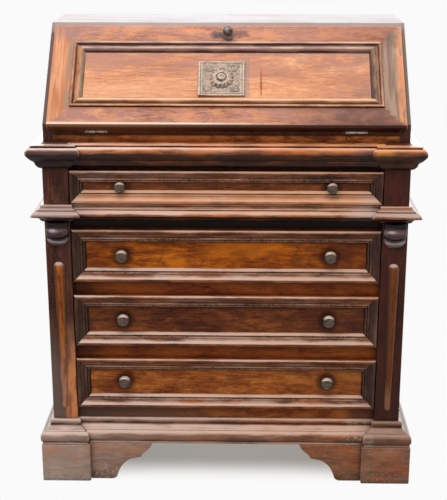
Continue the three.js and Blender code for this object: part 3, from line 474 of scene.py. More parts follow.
moulding_long = wood(
    "moulding_lengthwise", (84, 42, 24), (144, 84, 50), (196, 126, 80), "x", 5.0, dust_and_sheen=0.12,
    dust_and_sheen_tone=(214, 190, 180), wear=0.8, worn_and_highlight_tone=wear_and_highlight_look, toned=True, rough=(0.2, 0.36),
    coat=0.12, coat_rough=0.16, shine=0.12, dirt_and_shade=0.8, dirt_and_shade_tone=(26, 14, 12), extra=run_look)


# Returns of the mouldings: browner and waxed, with a greyish painted sheen where they lean back
def return_look(made):
    made.lay((176, 154, 142), ("up", 0.1, 0.6, 0.0, 0.25))


moulding_deep = wood(
    "moulding_depthwise", (74, 44, 32), (112, 70, 52), (144, 98, 76), "y", 6.0, dust_and_sheen=0.2,
    dust_and_sheen_tone=(186, 168, 158), wear=0.6, worn_and_highlight_tone=(168, 124, 100), toned=True, rough=(0.2, 0.36),
    coat=1.0, coat_rough=0.12, shine=0.5, dirt_and_shade=0.4, dirt_and_shade_tone=(60, 40, 32), extra=return_look)


# Corner blocks and brackets: greyish and rubbed, with soft rusty patches, stronger on the right
def block_look(made):
    left = ("x", 0.2, -0.2)
    right = ("x", 0.1, 0.3)
    patch = made.patches(26, 61, 0.36, 0.74, "x", 0.5)
    block = ("side", 0.3, 0.34, 0.4, 0.75)
    made.lay((224, 196, 182), left, block)
    made.lay((206, 122, 70), right, 0.3)
    dark = made.patches(44, 65, 0.4, 0.6, "x", 0.3)
    made.lay((90, 76, 64), dark, (right, 0, 1, 0.3, 0.6))
    rust = made.mix(left, (190, 100, 56), (212, 140, 104))
    upper = (made.add("z", made.times(right, 0.08)), 0.03, 0.08, 0.15, 0.9)
    made.lay(rust, patch, upper, 0.8)
    speckle = made.patches(230, 63, 0.5, 0.66, "x", 0.7)
    made.lay((206, 184, 166), speckle, (left, 0, 1, 0.12, 0.35))
    foot = made.times(("z", 0.05, 0.002), speckle, (left, 0, 1, 0.25, 0.8))
    made.lay((232, 218, 202), foot)


block_wood = wood(
    "plinth_wood", (108, 82, 68), (152, 122, 104), (184, 156, 136), "x", 7.0, wear=0.9,
    worn_and_highlight_tone=(226, 204, 186), dust_and_sheen=0.2, dirt_and_shade=0.45, extra=block_look)
bracket_wood = wood(
    "bracket_wood", (100, 66, 48), (162, 114, 86), (188, 144, 118), "x", 8.0, wear=0.9,
    worn_and_highlight_tone=(214, 190, 170), dirt_and_shade=0.6, dirt_and_shade_reach=0.03, dirt_and_shade_tone=(52, 36, 30), extra=block_look)
corbel_wood = wood(
    "corbel_wood", (70, 46, 44), (98, 73, 70), (130, 104, 100), "x", 9.0, wear=0, patch=0.5,
    rough=(0.22, 0.3), coat=0.14, coat_rough=0.14, shine=0.1, relief=0.1, dirt_and_shade_tone=(26, 14, 14),
    dirt_and_shade_reach=0.005, toned=True, worn_and_highlight_tone=(206, 190, 196))


# Spindles: orange down the middle, greyer at their sides with painted shade on the sides facing
# left and painted light on those facing right, a painted highlight on the cap, the left foot rosy
def spindle_look(made):
    made.lay((88, 46, 30), RIGHT, 0.65)
    # Painted shade on faces turned left, painted light on those turned right
    outer = (made.facing(0), -0.15, -0.6)
    inner = (made.facing(0), 0.45, 0.9)
    made.lay(made.mix(LEFT, (78, 58, 50), (72, 52, 46)), outer, 0.8)
    made.lay((116, 92, 66), inner, LEFT, 0.7)
    made.lay((168, 128, 108), inner, RIGHT, 0.6)
    foot = made.times(LEFT, ("z", 0.36, 0.26), made.patches(60, 71, 0.3, 0.6, "z", 0.3))
    made.lay((200, 148, 126), foot, 0.75)
    foot = made.times(RIGHT, ("z", 0.26, 0.2))
    made.lay((170, 122, 90), foot, 0.6)
    # Painted highlight on the upward top of the cap
    made.lay((218, 194, 184), ("up", 0.35, 0.85, 0.0, 0.9))


spindle_wood = wood(
    "spindle_wood", (116, 58, 22), (190, 104, 45), (228, 146, 76), "z", 10.0, wear=0.3,
    worn_and_highlight_tone=(214, 160, 120), rough=(0.28, 0.42), dirt_and_shade=0.7, dirt_and_shade_reach=0.008,
    dirt_and_shade_tone=(34, 18, 12), extra=spindle_look)


# Lengthwise runs of the fronts: the top drawer greyer, with orange patches below it
def front_run_look(made):
    top = ("z", 0.7, 0.706)
    made.lay((132, 106, 98), top, ("x", 0.05, -0.3, 0.15, 0.55))
    made.lay((58, 42, 40), top, ("x", -0.05, 0.3, 0.0, 0.6))
    foot = made.times(("z", 0.64, 0.645), ("z", 0.703, 0.697))
    made.lay((232, 156, 108), foot, 0.8)
    ends = made.add(("x", 0.27, 0.32), ("x", -0.29, -0.33, 0.0, 0.7))
    made.lay((202, 178, 168), foot, ends, 0.75)
    # Painted shadow below the knobs on the foot run of the top drawer
    aside = made.math("ABSOLUTE", made.less("x", KNOB_OUT))
    knob_shadow_smear = made.times(foot, ("z", 0.672, 0.68), (aside, 0.026, 0.01))
    made.lay((110, 80, 76), knob_shadow_smear, 0.6)
    patch = made.patches(26, 45, 0.46, 0.62, "x", 0.35)
    low = ("z", 0.3, 0.2, 0.35, 0.6)
    made.lay((204, 118, 62), patch, low)


# Drawer fronts
front_long = wood(
    "front_moulding_lengthwise", (70, 36, 22), (126, 74, 46), (176, 112, 72), "x", 11.0, dust_and_sheen=0.15,
    dust_and_sheen_tone=(224, 180, 150), wear=0.7, worn_and_highlight_tone=wear_and_highlight_look, toned=True, rough=(0.2, 0.36),
    coat=0.12, coat_rough=0.16, shine=0.1, dirt_and_shade=0.7, dirt_and_shade_reach=0.008, dirt_and_shade_tone=(34, 18, 12),
    extra=front_run_look)


# Upright runs of the fronts: olive black, a little mauve on the right
def upright_look(made):
    made.lay(made.mix(RIGHT, (72, 62, 54), (74, 58, 60)), (RIGHT, 0, 1, 0.45, 0.5))


front_up = wood(
    "front_moulding_upright", (56, 32, 24), (86, 54, 38), (122, 80, 56), "z", 12.0, wear=0.4,
    worn_and_highlight_tone=(176, 134, 108), toned=True, rough=(0.2, 0.36), dirt_and_shade=0.7, dirt_and_shade_reach=0.008,
    dirt_and_shade_tone=(34, 18, 12), extra=upright_look)


# Panel of a drawer: painted shade towards its moulding, darker towards its right end, with mottled
# patches and a painted shadow round each knob
def panel_look(index, deep, middle, light, end, end_start=0.1, end_share=0.75, glow_share=0.0):
    level, height, _, rise, *_ = LEVELS[index - 1]
    knob_level = level + height / 2 + rise

    def panel_extra(made):
        # Painted shade near the moulding and the knobs
        made.lay((48, 22, 12), (made.near(0.02), 0.92, 0.55), 0.5)
        bright = made.patches(34, 26 + index, 0.5, 0.66)
        made.lay(light, bright, 0.55)
        dim = made.patches(42, 28 + index, 0.48, 0.64)
        made.lay(end, dim, 0.55)
        mottled = made.patches(30, 24 + index, 0.42, 0.62, "x", 0.45)
        right = made.times(("x", end_start, 0.27), (mottled, 0, 1, 0.75, 1.0))
        made.lay(end, right, end_share)
        left = made.times(("x", -0.19, -0.25), mottled)
        made.lay(end, left, 0.6)
        glow = made.times(("x", -0.08, 0.0), ("x", 0.16, 0.08), ("z", 0.53, 0.55))
        made.lay(light, glow, (mottled, 0, 1, 1.0, 0.5), glow_share)
        # Painted shadow round each knob, reaching lower below it
        aside = made.less("side", KNOB_OUT)
        below = made.less("z", knob_level - 0.004)
        square = made.add(made.times(aside, aside), made.times(below, below))
        painted_knob_shadow = (square, 0.00085, 0.0002, 0.0, 0.65)
        made.lay((46, 24, 16), painted_knob_shadow)
    return wood(
        f"drawer_panel_{20 + index}", deep, middle, light, "x", 20.0 + index, patch=0.36, wear=0,
        dirt_and_shade=0.25, extra=panel_extra, rough=(0.28, 0.44))


# Panels of the drawers, from the top one down
panel_looks = [
    panel_look(1, (84, 40, 20), (140, 78, 44), (190, 114, 62), (88, 48, 34), 0.14, 0.6),
    panel_look(2, (96, 40, 12), (166, 82, 24), (234, 130, 34), (84, 40, 32), 0.1, 0.75, 0.6),
    panel_look(3, (72, 34, 19), (116, 62, 37), (168, 96, 50), (78, 42, 34), 0.05, 0.5),
    panel_look(4, (106, 48, 18), (180, 98, 46), (230, 146, 72), (112, 54, 32), 0.1, 0.5),
]

# Inner woods
inner_wood = wood(
    "inner_wood", (128, 84, 56), (168, 118, 84), (198, 150, 114), "x", 13.0, wear=0.3,
    rough=(0.5, 0.7), coat=0.0, dirt_and_shade=0.5, dirt_and_shade_tone=(70, 46, 28))
inner_deep = wood(
    "inner_wood_depthwise", (128, 84, 56), (166, 116, 82), (196, 148, 112), "y", 14.0, wear=0.3,
    rough=(0.5, 0.7), coat=0.0, dirt_and_shade=0.5, dirt_and_shade_tone=(70, 46, 28))


# Share of a place on the fall that lies in its stiles, beyond the mitres
def stile_share(made):
    side = made.less("side", PANEL_HALF)
    above = made.less("y", PANEL_END)
    below = made.less(PANEL_START, "y")
    beyond = made.times(made.math("MAXIMUM", above, below), 0.98)
    ragged = (made.noise(90, 4, 0.6), 0.3, 0.7, -0.006, 0.006)
    place = made.add(made.less(side, made.math("MAXIMUM", beyond, 0.0)), ragged)
    return made.ramp(place, -0.005, 0.005)


# Blotch with soft edges on the fall, centred at x and y
def blotch(made, x, y, wide, high):
    across = made.math("DIVIDE", made.less("x", x), wide)
    up = made.math("DIVIDE", made.less("y", y), high)
    square = made.add(made.times(across, across), made.times(up, up))
    ragged = made.add(square, made.ramp(made.noise(60, 4, 0.6), 0.3, 0.7, -0.4, 0.4))
    return made.ramp(ragged, 1.5, -0.2)


# Frame of the fall: mauve and orange patches, the right stile grey with an orange border, stains
# and painted shadow beside the knob, a painted highlight on the lower arris and painted shade on
# the edge face below
def fall_frame_look(made):
    left = ("x", 0.05, -0.25)
    right = ("x", 0.05, 0.3)
    mauve = made.patches(24, 81, 0.42, 0.58, "x", 0.5)
    lower = ("y", 0.06, 0.045)
    made.lay((172, 124, 116), mauve, (left, 0, 1, 0.5, 0.75))
    orange = made.patches(30, 93, 0.48, 0.62, "x", 0.5)
    made.lay((238, 160, 112), orange, 0.5)
    made.lay((140, 98, 84), right, lower, 0.8)
    made.lay((112, 78, 72), right, lower, made.patches(30, 87, 0.42, 0.6), 0.7)
    made.lay((170, 104, 74), right, ("y", 0.21, 0.222), 0.3)
    upright = made.drawn("y", 0.06, 31, 70, 5, 0.6, 0.8)
    stile = made.mix((upright, 0.38, 0.6), (196, 124, 82), (230, 162, 120))
    rough_line = made.drawn("y", 0.3, 33, 60, 4, 0.6)
    border = (made.add("side", made.times(rough_line, 0.02)), 0.381, 0.391)
    border = made.times(border, ("side", 0.398, 0.393), made.patches(50, 89, 0.3, 0.55, "y", 0.4))
    greyish = made.mix((upright, 0.4, 0.6), (130, 110, 98), (170, 146, 128))
    greyish = made.mix(made.times(border, 0.9), greyish, (236, 158, 114))
    stile = made.mix(made.times(right, 0.9), stile, greyish)
    olive = made.times(left, ("side", 0.362, 0.35), made.patches(40, 83, 0.3, 0.5, "y", 0.3))
    stile = made.mix(made.times(olive, 0.8), stile, (150, 128, 114))
    made.lay(stile, stile_share(made))
    corner = made.times(left, ("side", 0.3, 0.36), ("y", 0.215, 0.25), 0.5)
    made.lay((160, 122, 118), corner)
    smudge = blotch(made, 0.366, 0.238, 0.02, 0.03)
    made.lay((116, 84, 82), smudge, 0.6)
    # Dark marks beside the knob: stains and its painted shadow
    for share, *knob_stain_and_shadow in ((0.85, -0.022, 0.2435, 0.022, 0.011), (0.65, 0.028, 0.2455, 0.02, 0.01),
                          (0.4, 0.0, 0.246, 0.05, 0.013)):
        made.lay((92, 74, 76), blotch(made, *knob_stain_and_shadow), share)
    # Painted highlight along the lower arris of the fall
    outer = ("z", 0.0165, 0.0185)
    lit = made.times(outer, ("y", 0.0135, 0.0105), ("x", 0.15, -0.1, 0.0, 0.85))
    made.lay((252, 226, 204), lit)
    # Painted shade on the lower edge face
    below = ("y", 0.0078, 0.0062)
    made.lay(made.mix(left, (56, 29, 18), (106, 60, 33)), below, 0.97)
    inner = made.times(("z", 0.0114, 0.0112), (made.facing(2), -0.3, -0.7))
    drawn = made.drawn("x", 0.1, 41, 70, 5, 0.64, 0.9)
    board = made.mix((drawn, 0.36, 0.6), (112, 62, 38), (170, 108, 70))
    board = made.mix(made.times(made.patches(14, 43, 0.45, 0.65), 0.35), board, (92, 54, 36))
    made.lay(board, inner)


# Panel field of the fall: mauve towards the top and the right, a painted sheen at the lower left, a
# paler strip and a rusty streak
def fall_panel_look(made):
    mauve = made.patches(18, 85, 0.4, 0.58, "x", 0.5)
    top = ("y", 0.1, 0.17)
    right = ("x", 0.12, 0.32)
    share = made.math("MAXIMUM", made.times(top, 0.75), made.times(right, 0.75))
    made.lay((184, 130, 114), mauve, share)
    for y in (0.185, 0.09):
        made.lay((150, 124, 112), blotch(made, 0.3, y, 0.03, 0.02), 0.45)
    # Painted sheen at the lower left
    light = made.times(("x", 0.0, -0.2), ("y", 0.13, 0.09), 0.4)
    made.lay((240, 182, 146), light)
    strip = made.times(("x", 0.033, 0.038), ("x", 0.053, 0.048), ("y", 0.186, 0.18))
    made.lay((160, 138, 132), strip, 0.55)
    streak = blotch(made, 0.0757, 0.118, 0.0026, 0.044)
    made.lay((176, 78, 34), streak, 0.9)


# Lengthwise moulding round the panel of the fall: mauve along the top
def fall_run_look(made):
    made.lay((150, 126, 128), ("y", 0.18, 0.2), 0.75)


# Upright moulding there: its inner slope olive with painted light at the left, dark with painted
# shade at the right, orange between
def fall_side_look(made):
    # Painted light on the left inner slope, painted shade on the right one
    slope = made.add(made.times(LEFT, ("side", 0.326, 0.322)),
                     made.times(RIGHT, ("side", 0.334, 0.33)))
    tone = made.mix(LEFT, (84, 70, 66), (148, 132, 112))
    made.lay((150, 114, 100), RIGHT, 0.5)
    made.lay(tone, slope, 0.85)


fall_frame = wood(
    "fall_frame", (128, 82, 66), (200, 136, 106), (230, 170, 136), "x", 15.0, wear=0.8,
    worn_and_highlight_tone=(236, 196, 160), extra=fall_frame_look, dirt_and_shade=0.7, dirt_and_shade_tone=(50, 28, 20),
    rough=(0.3, 0.5), coat=0.15)
fall_field = wood(
    "fall_panel_field", (176, 114, 84), (222, 150, 108), (242, 180, 138), "x", 16.0, wear=0,
    extra=fall_panel_look, dirt_and_shade=0.6, dirt_and_shade_tone=(90, 50, 34), rough=(0.3, 0.5), coat=0.15)
fall_long = wood(
    "fall_moulding_lengthwise", (120, 72, 50), (184, 120, 86), (216, 154, 116), "x", 17.0, wear=0.5,
    worn_and_highlight_tone=(242, 196, 160), dirt_and_shade=0.7, dirt_and_shade_reach=0.006, dirt_and_shade_tone=(48, 30, 26), toned=True,
    extra=fall_run_look)
fall_up = wood(
    "fall_moulding_upright", (120, 74, 52), (186, 122, 86), (216, 156, 116), "y", 18.0, wear=0.4,
    worn_and_highlight_tone=(226, 182, 146), dirt_and_shade=0.7, dirt_and_shade_reach=0.006, dirt_and_shade_tone=(54, 38, 32), toned=True,
    extra=fall_side_look)

# Metals
knob_metal = metal(
    "knob_bronze", (60, 47, 38), (102, 82, 66), (214, 194, 180), metallic=0.3, seed=1.0, wear=0.3,
    reach=0.003, top_highlight=1.0, top_highlight_tone=(232, 210, 196))
fall_knob_metal = metal(
    "ball_knob_bronze", (72, 62, 60), (128, 116, 112), (206, 196, 190), metallic=0.85, seed=2.0)


# Patina of the plate: dark in the hollows, painted shade on the lower sides of its relief, rubbed
# bright on what stands up
def plate_look(made):
    given = made.tone()
    made.lay((76, 60, 50), (given, 0.0, -0.9, 0.0, 0.85))
    made.lay((226, 212, 198), (given, 0.15, 0.9, 0.0, 0.7))
    stained = made.patches(200, 91, 0.45, 0.62, "x", 1.0)
    made.lay((112, 96, 78), stained, 0.5)
    rosy = made.patches(90, 95, 0.45, 0.6, "x", 1.0)
    made.lay((214, 172, 150), rosy, 0.35)


plate_metal = metal(
    "plate_bronze", (140, 124, 110), (188, 170, 152), (226, 212, 196), metallic=0.3, wear=0.2,
    rough=(0.4, 0.6), seed=3.0, reach=0.003, dirt_and_shade_tone=(58, 46, 38), extra=plate_look)


# The left hinge is duller than the right one
def hinge_look(made):
    made.lay((96, 80, 66), LEFT, 0.7)


hinge_metal = metal(
    "hinge_steel", (110, 100, 92), (168, 158, 148), (232, 224, 214), seed=4.0, metallic=0.5,
    top_highlight=0.6, top_highlight_tone=(244, 238, 232), reach=0.002, extra=hinge_look)

# Fineness of the shapes: how near points join, how flat is plain, turns of a knob, lengths of faces
JOIN_DISTANCE, FLAT_ANGLE = 2e-6, math.radians(0.6)
TURNS = 40
RUN_STEP, FRONT_STEP = 0.009, 0.01

# Depth of the dents of old edges
RUN_DENT, FRONT_DENT, FALL_DENT, SPINDLE_DENT, CORBEL_DENT = 0.0005, 0.0004, 0.0003, 0.0004, 0.0002


# Makes an object of a mesh, with smooth faces up to a limit between edges
def make_object(name, mesh, materials, body, replaced, limit):
    for material in materials:
        mesh.materials.append(material)
    mesh.polygons.foreach_set("use_smooth", [True] * len(mesh.polygons))
    mesh.set_sharp_from_angle(angle=math.radians(limit))
    made = bpy.data.objects.new(name, mesh)
    bpy.context.scene.collection.objects.link(made)
    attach(made, body)
    if replaced:
        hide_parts(*replaced)
    return made


# Faces between rows of points from a start, each row closed on itself or left open
def between(rows, count, closed=True, start=0):
    faces = []
    for first in range(start, start + (rows - 1) * count, count):
        for k in range(count if closed else count - 1):
            a, b = first + k, first + (k + 1) % count
            faces.append((a, b, b + count, a + count))
    return faces


# Grid of points closed behind: its edge goes back to one level of an axis, its sides given a tone
# of painted shade
def close_behind(points, tones, high, wide, axis, level, tone):
    row = wide + 1
    edge = list(range(row)) + [j * row + wide for j in range(1, high + 1)]
    edge += [high * row + i for i in range(wide - 1, -1, -1)]
    edge += [j * row for j in range(high - 1, 0, -1)]
    count, total = len(points), len(edge)
    for k in edge:
        point = list(points[k])
        point[axis] = level
        points.append(tuple(point))
        tones.append(tone)
    faces = between(high + 1, row, False)
    for k in range(total):
        n = (k + 1) % total
        faces.append((edge[k], count + k, count + n, edge[n]))
    return faces + [tuple(range(count, count + total))]


# Finished mesh of worked geometry
def finished(work, name):
    mesh = bpy.data.meshes.new(name)
    work.to_mesh(mesh)
    work.free()
    return mesh


# Mesh of points and faces, joined where they meet, with its faces turned outwards
def make_mesh(name, points, faces, kinds=None, tones=None):
    work = bmesh.new()
    made = [work.verts.new(p) for p in points]
    layer = work.loops.layers.float.new("tone")
    for i, face in enumerate(faces):
        placed = work.faces.new([made[k] for k in face])
        placed.material_index = kinds[i] if kinds else 0
        if tones:
            for loop, k in zip(placed.loops, face):
                loop[layer] = tones[k]
    bmesh.ops.remove_doubles(work, verts=work.verts, dist=JOIN_DISTANCE)
    bmesh.ops.recalc_face_normals(work, faces=work.faces)
    return finished(work, name)


# Copy of a CAD node with rounded edges
def soften(node, width, material, slot, limit=28, segments=2):
    name = f"{node}_worn"
    source = nodes[node]
    work = bmesh.new()
    work.from_mesh(source.data)
    bmesh.ops.remove_doubles(work, verts=work.verts, dist=JOIN_DISTANCE)
    bmesh.ops.dissolve_limit(
        work, angle_limit=FLAT_ANGLE, verts=work.verts, edges=work.edges, delimit={"NORMAL"})
    edges = [edge for edge in work.edges
             if len(edge.link_faces) == 2 and edge.calc_face_angle(0) > math.radians(limit)]
    bmesh.ops.bevel(work, geom=edges, offset=width, offset_type="OFFSET", segments=segments,
                    profile=0.5, affect="EDGES", clamp_overlap=True)
    for face in work.faces:
        face.material_index = 0
    mesh = finished(work, name)
    return make_object(name, mesh, [material], body_of(source)[0], (node,), 38)


# Curve through the runs of a section, its corners kept; what follows two numbers goes along
def smooth_section(points, steps=4, corner=34):
    flat = [np.array(p, float) for p in points]
    count = len(flat)

    def turn(i):
        if i in (0, count - 1):
            return 180.0
        before, after = (flat[i] - flat[i - 1])[:2], (flat[i + 1] - flat[i])[:2]
        if np.linalg.norm(before) < 1e-9 or np.linalg.norm(after) < 1e-9:
            return 180.0
        return math.degrees(Vector(before).angle(Vector(after)))

    corners = [turn(i) > corner for i in range(count)]
    made = [flat[0]]
    for i in range(count - 1):
        start, end = flat[i], flat[i + 1]
        if corners[i] and corners[i + 1]:
            made.append(end)
            continue
        before = start if corners[i] else flat[i - 1]
        after = end if corners[i + 1] else flat[i + 2]
        slope_in = (end - before) * (1.0 if corners[i] else 0.5)
        slope_out = (after - start) * (1.0 if corners[i + 1] else 0.5)
        for k in range(1, steps + 1):
            t = k / steps
            shares = (2 * t ** 3 - 3 * t ** 2 + 1, t ** 3 - 2 * t ** 2 + t,
                      3 * t ** 2 - 2 * t ** 3, t ** 3 - t ** 2)
            made.append(sum(a * b for a, b in zip(shares, (start, slope_in, end, slope_out))))
    low, high = np.min(flat, axis=0), np.max(flat, axis=0)
    return [tuple(float(v) for v in np.clip(p, low, high)) for p in made]


# Small dents of old edges: how far a place has worn inwards
def worn_in(point, amount):
    coarse = noise.noise(Vector(point) * 38)
    fine = noise.noise(Vector(point) * 140 + Vector((7, 3, 5)))
    return amount * (max(0.0, coarse) * 0.8 + max(0.0, fine) * 0.5)


# Run of moulding along mitres, its section scaled in metres, standing out from the case
def moulding(name, path, mitres, shares, out, height, level, material, replaced):
    section = smooth_section([(a * out, b * height, tone) for a, b, tone in shares])
    tones = [tone for _, _, tone in section]
    section = [(SEAT + a, level + b) for a, b, _ in section]
    points = []
    for i in range(len(path) - 1):
        (x0, y0), (x1, y1) = path[i], path[i + 1]
        (mx0, my0), (mx1, my1) = mitres[i], mitres[i + 1]
        pieces = max(1, round(math.hypot(x1 - x0, y1 - y0) / RUN_STEP))
        for k in range(pieces + (1 if i + 2 == len(path) else 0)):
            t = k / pieces
            x, y = x0 + (x1 - x0) * t, y0 + (y1 - y0) * t
            mx, my = mx0 + (mx1 - mx0) * t, my0 + (my1 - my0) * t
            for a, up in section:
                worn = worn_in((x + a * mx, y + a * my, up), RUN_DENT) if a > 0.3 * out else 0.0
                points.append((x + (a - worn) * mx, y + (a - worn) * my + FRONT, up))
    total, count = len(points), len(section)
    faces = between(total // count, count)
    faces += [tuple(range(count)), tuple(reversed(range(total - count, total)))]
    mesh = make_mesh(name, points, faces, tones=tones * (total // count))
    body = body_of(nodes[replaced])[0]
    make_object(name, mesh, [material], body, (replaced,), 34)


FRONT_PATH = [
    (-HALF_WIDTH, 0), (-POST_INNER, 0), (-POST_INNER, SET_BACK),
    (POST_INNER, SET_BACK), (POST_INNER, 0), (HALF_WIDTH, 0),
]
FRONT_MITRES = [(-1, -1), (1, -1), (1, -1), (-1, -1), (-1, -1), (1, -1)]
RUNS = [
    ("base", BASE_SECTION, BASE_OUT, BASE_HEIGHT, CASE_FOOT),
    ("waist", WAIST_SECTION, WAIST_OUT, WAIST_HEIGHT, WAIST_LEVEL),
    ("cornice", CORNICE_SECTION, CORNICE_OUT, CORNICE_HEIGHT, CORNICE_LEVEL),
]
for label, shares, out, height, level in RUNS:
    moulding(f"{label}_front_run", FRONT_PATH, FRONT_MITRES, shares, out, height, level,
             moulding_long, f"{label}_front")
    for side_name, side in SIDES:
        path = [(side * HALF_WIDTH, 0.0004), (side * HALF_WIDTH, CASE_DEPTH)]
        moulding(f"{label}_{side_name}_run", path, [(side, -1), (side, 0)], shares, out, height,
                 level, moulding_deep, f"{label}_{side_name}")

# Rail above the top drawer, which the CAD has in one with the cornice
RAIL_LOW, RAIL_HIGH = (-0.3436, FRONT + 0.0116, 0.739), (0.3436, FRONT + 0.042, 0.7973)
RAIL_ROUNDING = 0.0008
work = bmesh.new()
bmesh.ops.create_cube(work, size=1)
for vert in work.verts:
    vert.co = Vector([(RAIL_LOW if vert.co[k] < 0 else RAIL_HIGH)[k] for k in range(3)])
bmesh.ops.bevel(
    work, geom=work.edges[:], offset=RAIL_ROUNDING, segments=2, profile=0.5, affect="EDGES")
make_object("cornice_rail", finished(work, "cornice_rail"), [case_long], "carcass",
            (), 38)


# Front with a mitred moulding round a sunk panel, laid out in x and z, facing -Y
def moulded_front(name, half_long, half_high, width, relief, shares, tone_sets, thick, looks, body,
                  replaced, place, dent=FRONT_DENT):
    corners = [(-1, -1), (1, -1), (1, 1), (-1, 1)]
    points, faces, kinds, tones = [], [], [], []
    many = [max(2, round(2 * half / FRONT_STEP)) for half in (half_long, half_high)]
    for side in range(4):
        pieces = many[side % 2]
        (ax, az), (bx, bz) = corners[side], corners[(side + 1) % 4]
        toned = [(a * width, b * relief, tone) for (a, b), tone in zip(shares, tone_sets[side])]
        rings = [(0.0, thick, -1.0), *smooth_section(toned)]
        start = len(points)
        for r, (inwards, down, tone) in enumerate(rings):
            for k in range(pieces + 1):
                t = k / pieces
                x = (ax + (bx - ax) * t) * (half_long - inwards)
                z = (az + (bz - az) * t) * (half_high - inwards)
                edged = 0 < r < len(rings) - 1
                worn = worn_in((x * 1.3, z + half_high * 7, down), dent) if edged else 0
                points.append((x, down + worn, z))
                tones.append(tone)
        faces += between(len(rings), pieces + 1, False, start)
        kinds += [3] * pieces + [side % 2] * pieces * (len(rings) - 2)
    wide, high = many
    faces += between(high + 1, wide + 1, False, len(points))
    kinds += [2] * wide * high
    for j in range(high + 1):
        for i in range(wide + 1):
            x = (half_long - width) * (2 * i / wide - 1)
            z = (half_high - width) * (2 * j / high - 1)
            points.append((x, relief, z))
    faces.append(tuple(range(len(points), len(points) + 4)))
    kinds.append(3)
    points += [(x * half_long, thick, z * half_high) for x, z in corners]
    tones += [0.0] * (len(points) - len(tones))
    mesh = make_mesh(name, points, faces, kinds, tones)
    mesh.transform(place)
    return make_object(name, mesh, looks, body, replaced, 34)


# Turned piece about its own axis: section as radius and length, its foot at the origin, facing -Y
def turned(name, shares, radius, length, material, body, replaced, place):
    section = smooth_section([(a * radius, b * length) for a, b in shares], 4, 40)
    work = bmesh.new()
    made = []
    for a, b in section:
        for k in range(TURNS):
            angle = 2 * math.pi * k / TURNS
            made.append(work.verts.new((a * math.cos(angle), -b, a * math.sin(angle))))
    for face in between(len(section), TURNS):
        work.faces.new([made[k] for k in face])
    bmesh.ops.remove_doubles(work, verts=work.verts, dist=JOIN_DISTANCE)
    bmesh.ops.dissolve_degenerate(work, dist=1e-6, edges=work.edges)
    bmesh.ops.recalc_face_normals(work, faces=work.faces)
    mesh = finished(work, name)
    mesh.transform(place)
    make_object(name, mesh, [material], body, replaced, 40)


for index, (level, height, width, rise, radius, length) in enumerate(LEVELS, 1):
    moulded_front(
        f"drawer_{index}_moulded", DRAWER_HALF, height / 2, width, DRAWER_RELIEF, DRAWER_SECTION,
        (DRAWER_FOOT_TONES, DRAWER_SIDE_TONES, DRAWER_TOP_TONES, DRAWER_SIDE_TONES), FRONT_THICK,
        [front_long, front_up, panel_looks[index - 1], case_long], f"drawer_{index}",
        (f"drawer_{index}_front",),
        Matrix.Translation((0, FRONT + DRAWER_CREST, level + height / 2)))
    for side_name, side in SIDES:
        turned(f"drawer_{index}_turned_{side_name}", KNOB_SECTION, radius, length, knob_metal,
               f"drawer_{index}", (f"drawer_{index}_knob_{side_name}",),
               Matrix.Translation((side * KNOB_OUT, FRONT + KNOB_SEAT, level + height / 2 + rise)))

# Fall: its board, panel, knob and plate
fall_board = soften("fall_board", 0.0007, fall_frame, "fall_wood")
fall_board.data.transform(FALL_PLACE.inverted())
fall_board.matrix_world = FALL_PLACE

# Panel of the fall, laid out in the frame of the fall: x along, y up the slope and z outwards
half_high = (PANEL_END - PANEL_START) / 2
fall_panel = moulded_front(
    "fall_panel_moulded", PANEL_HALF, half_high, PANEL_MOULDING, PANEL_RELIEF, FALL_SECTION,
    (FALL_FOOT_TONES, FALL_SIDE_TONES, FALL_TOP_TONES, FALL_SIDE_TONES), PANEL_THICK,
    [fall_long, fall_up, fall_field, fall_long], "fall", ("fall_panel",),
    Matrix.Translation((0, PANEL_START + half_high, PANEL_LEVEL)) @ FACE_UP, dent=FALL_DENT)
fall_panel.matrix_world = FALL_PLACE
turned("fall_knob_turned", FALL_KNOB_SECTION, FALL_KNOB_RADIUS, FALL_KNOB_LENGTH, fall_knob_metal,
       "fall", ("fall_knob",),
       FALL_PLACE @ Matrix.Translation(FALL_KNOB_PLACE) @ FACE_UP)

# Plate of the fall: its size, place, lifted corner and the radius of its boss
PLATE_WIDE, PLATE_HIGH, PLATE_THICK = 0.103, 0.092, 0.0024
PLATE_PLACE, PLATE_LIFT = (-0.012, 0.127, 0.0172), 0.0026
BOSS = 0.027


# Smooth step from 0 to 1
def step(value, low, high):
    t = min(max((value - low) / (high - low), 0.0), 1.0)
    return t * t * (3 - 2 * t)


# Bell curve of height 1 round a middle
def bell(value, middle, width):
    return math.exp(-((value - middle) / width) ** 2)


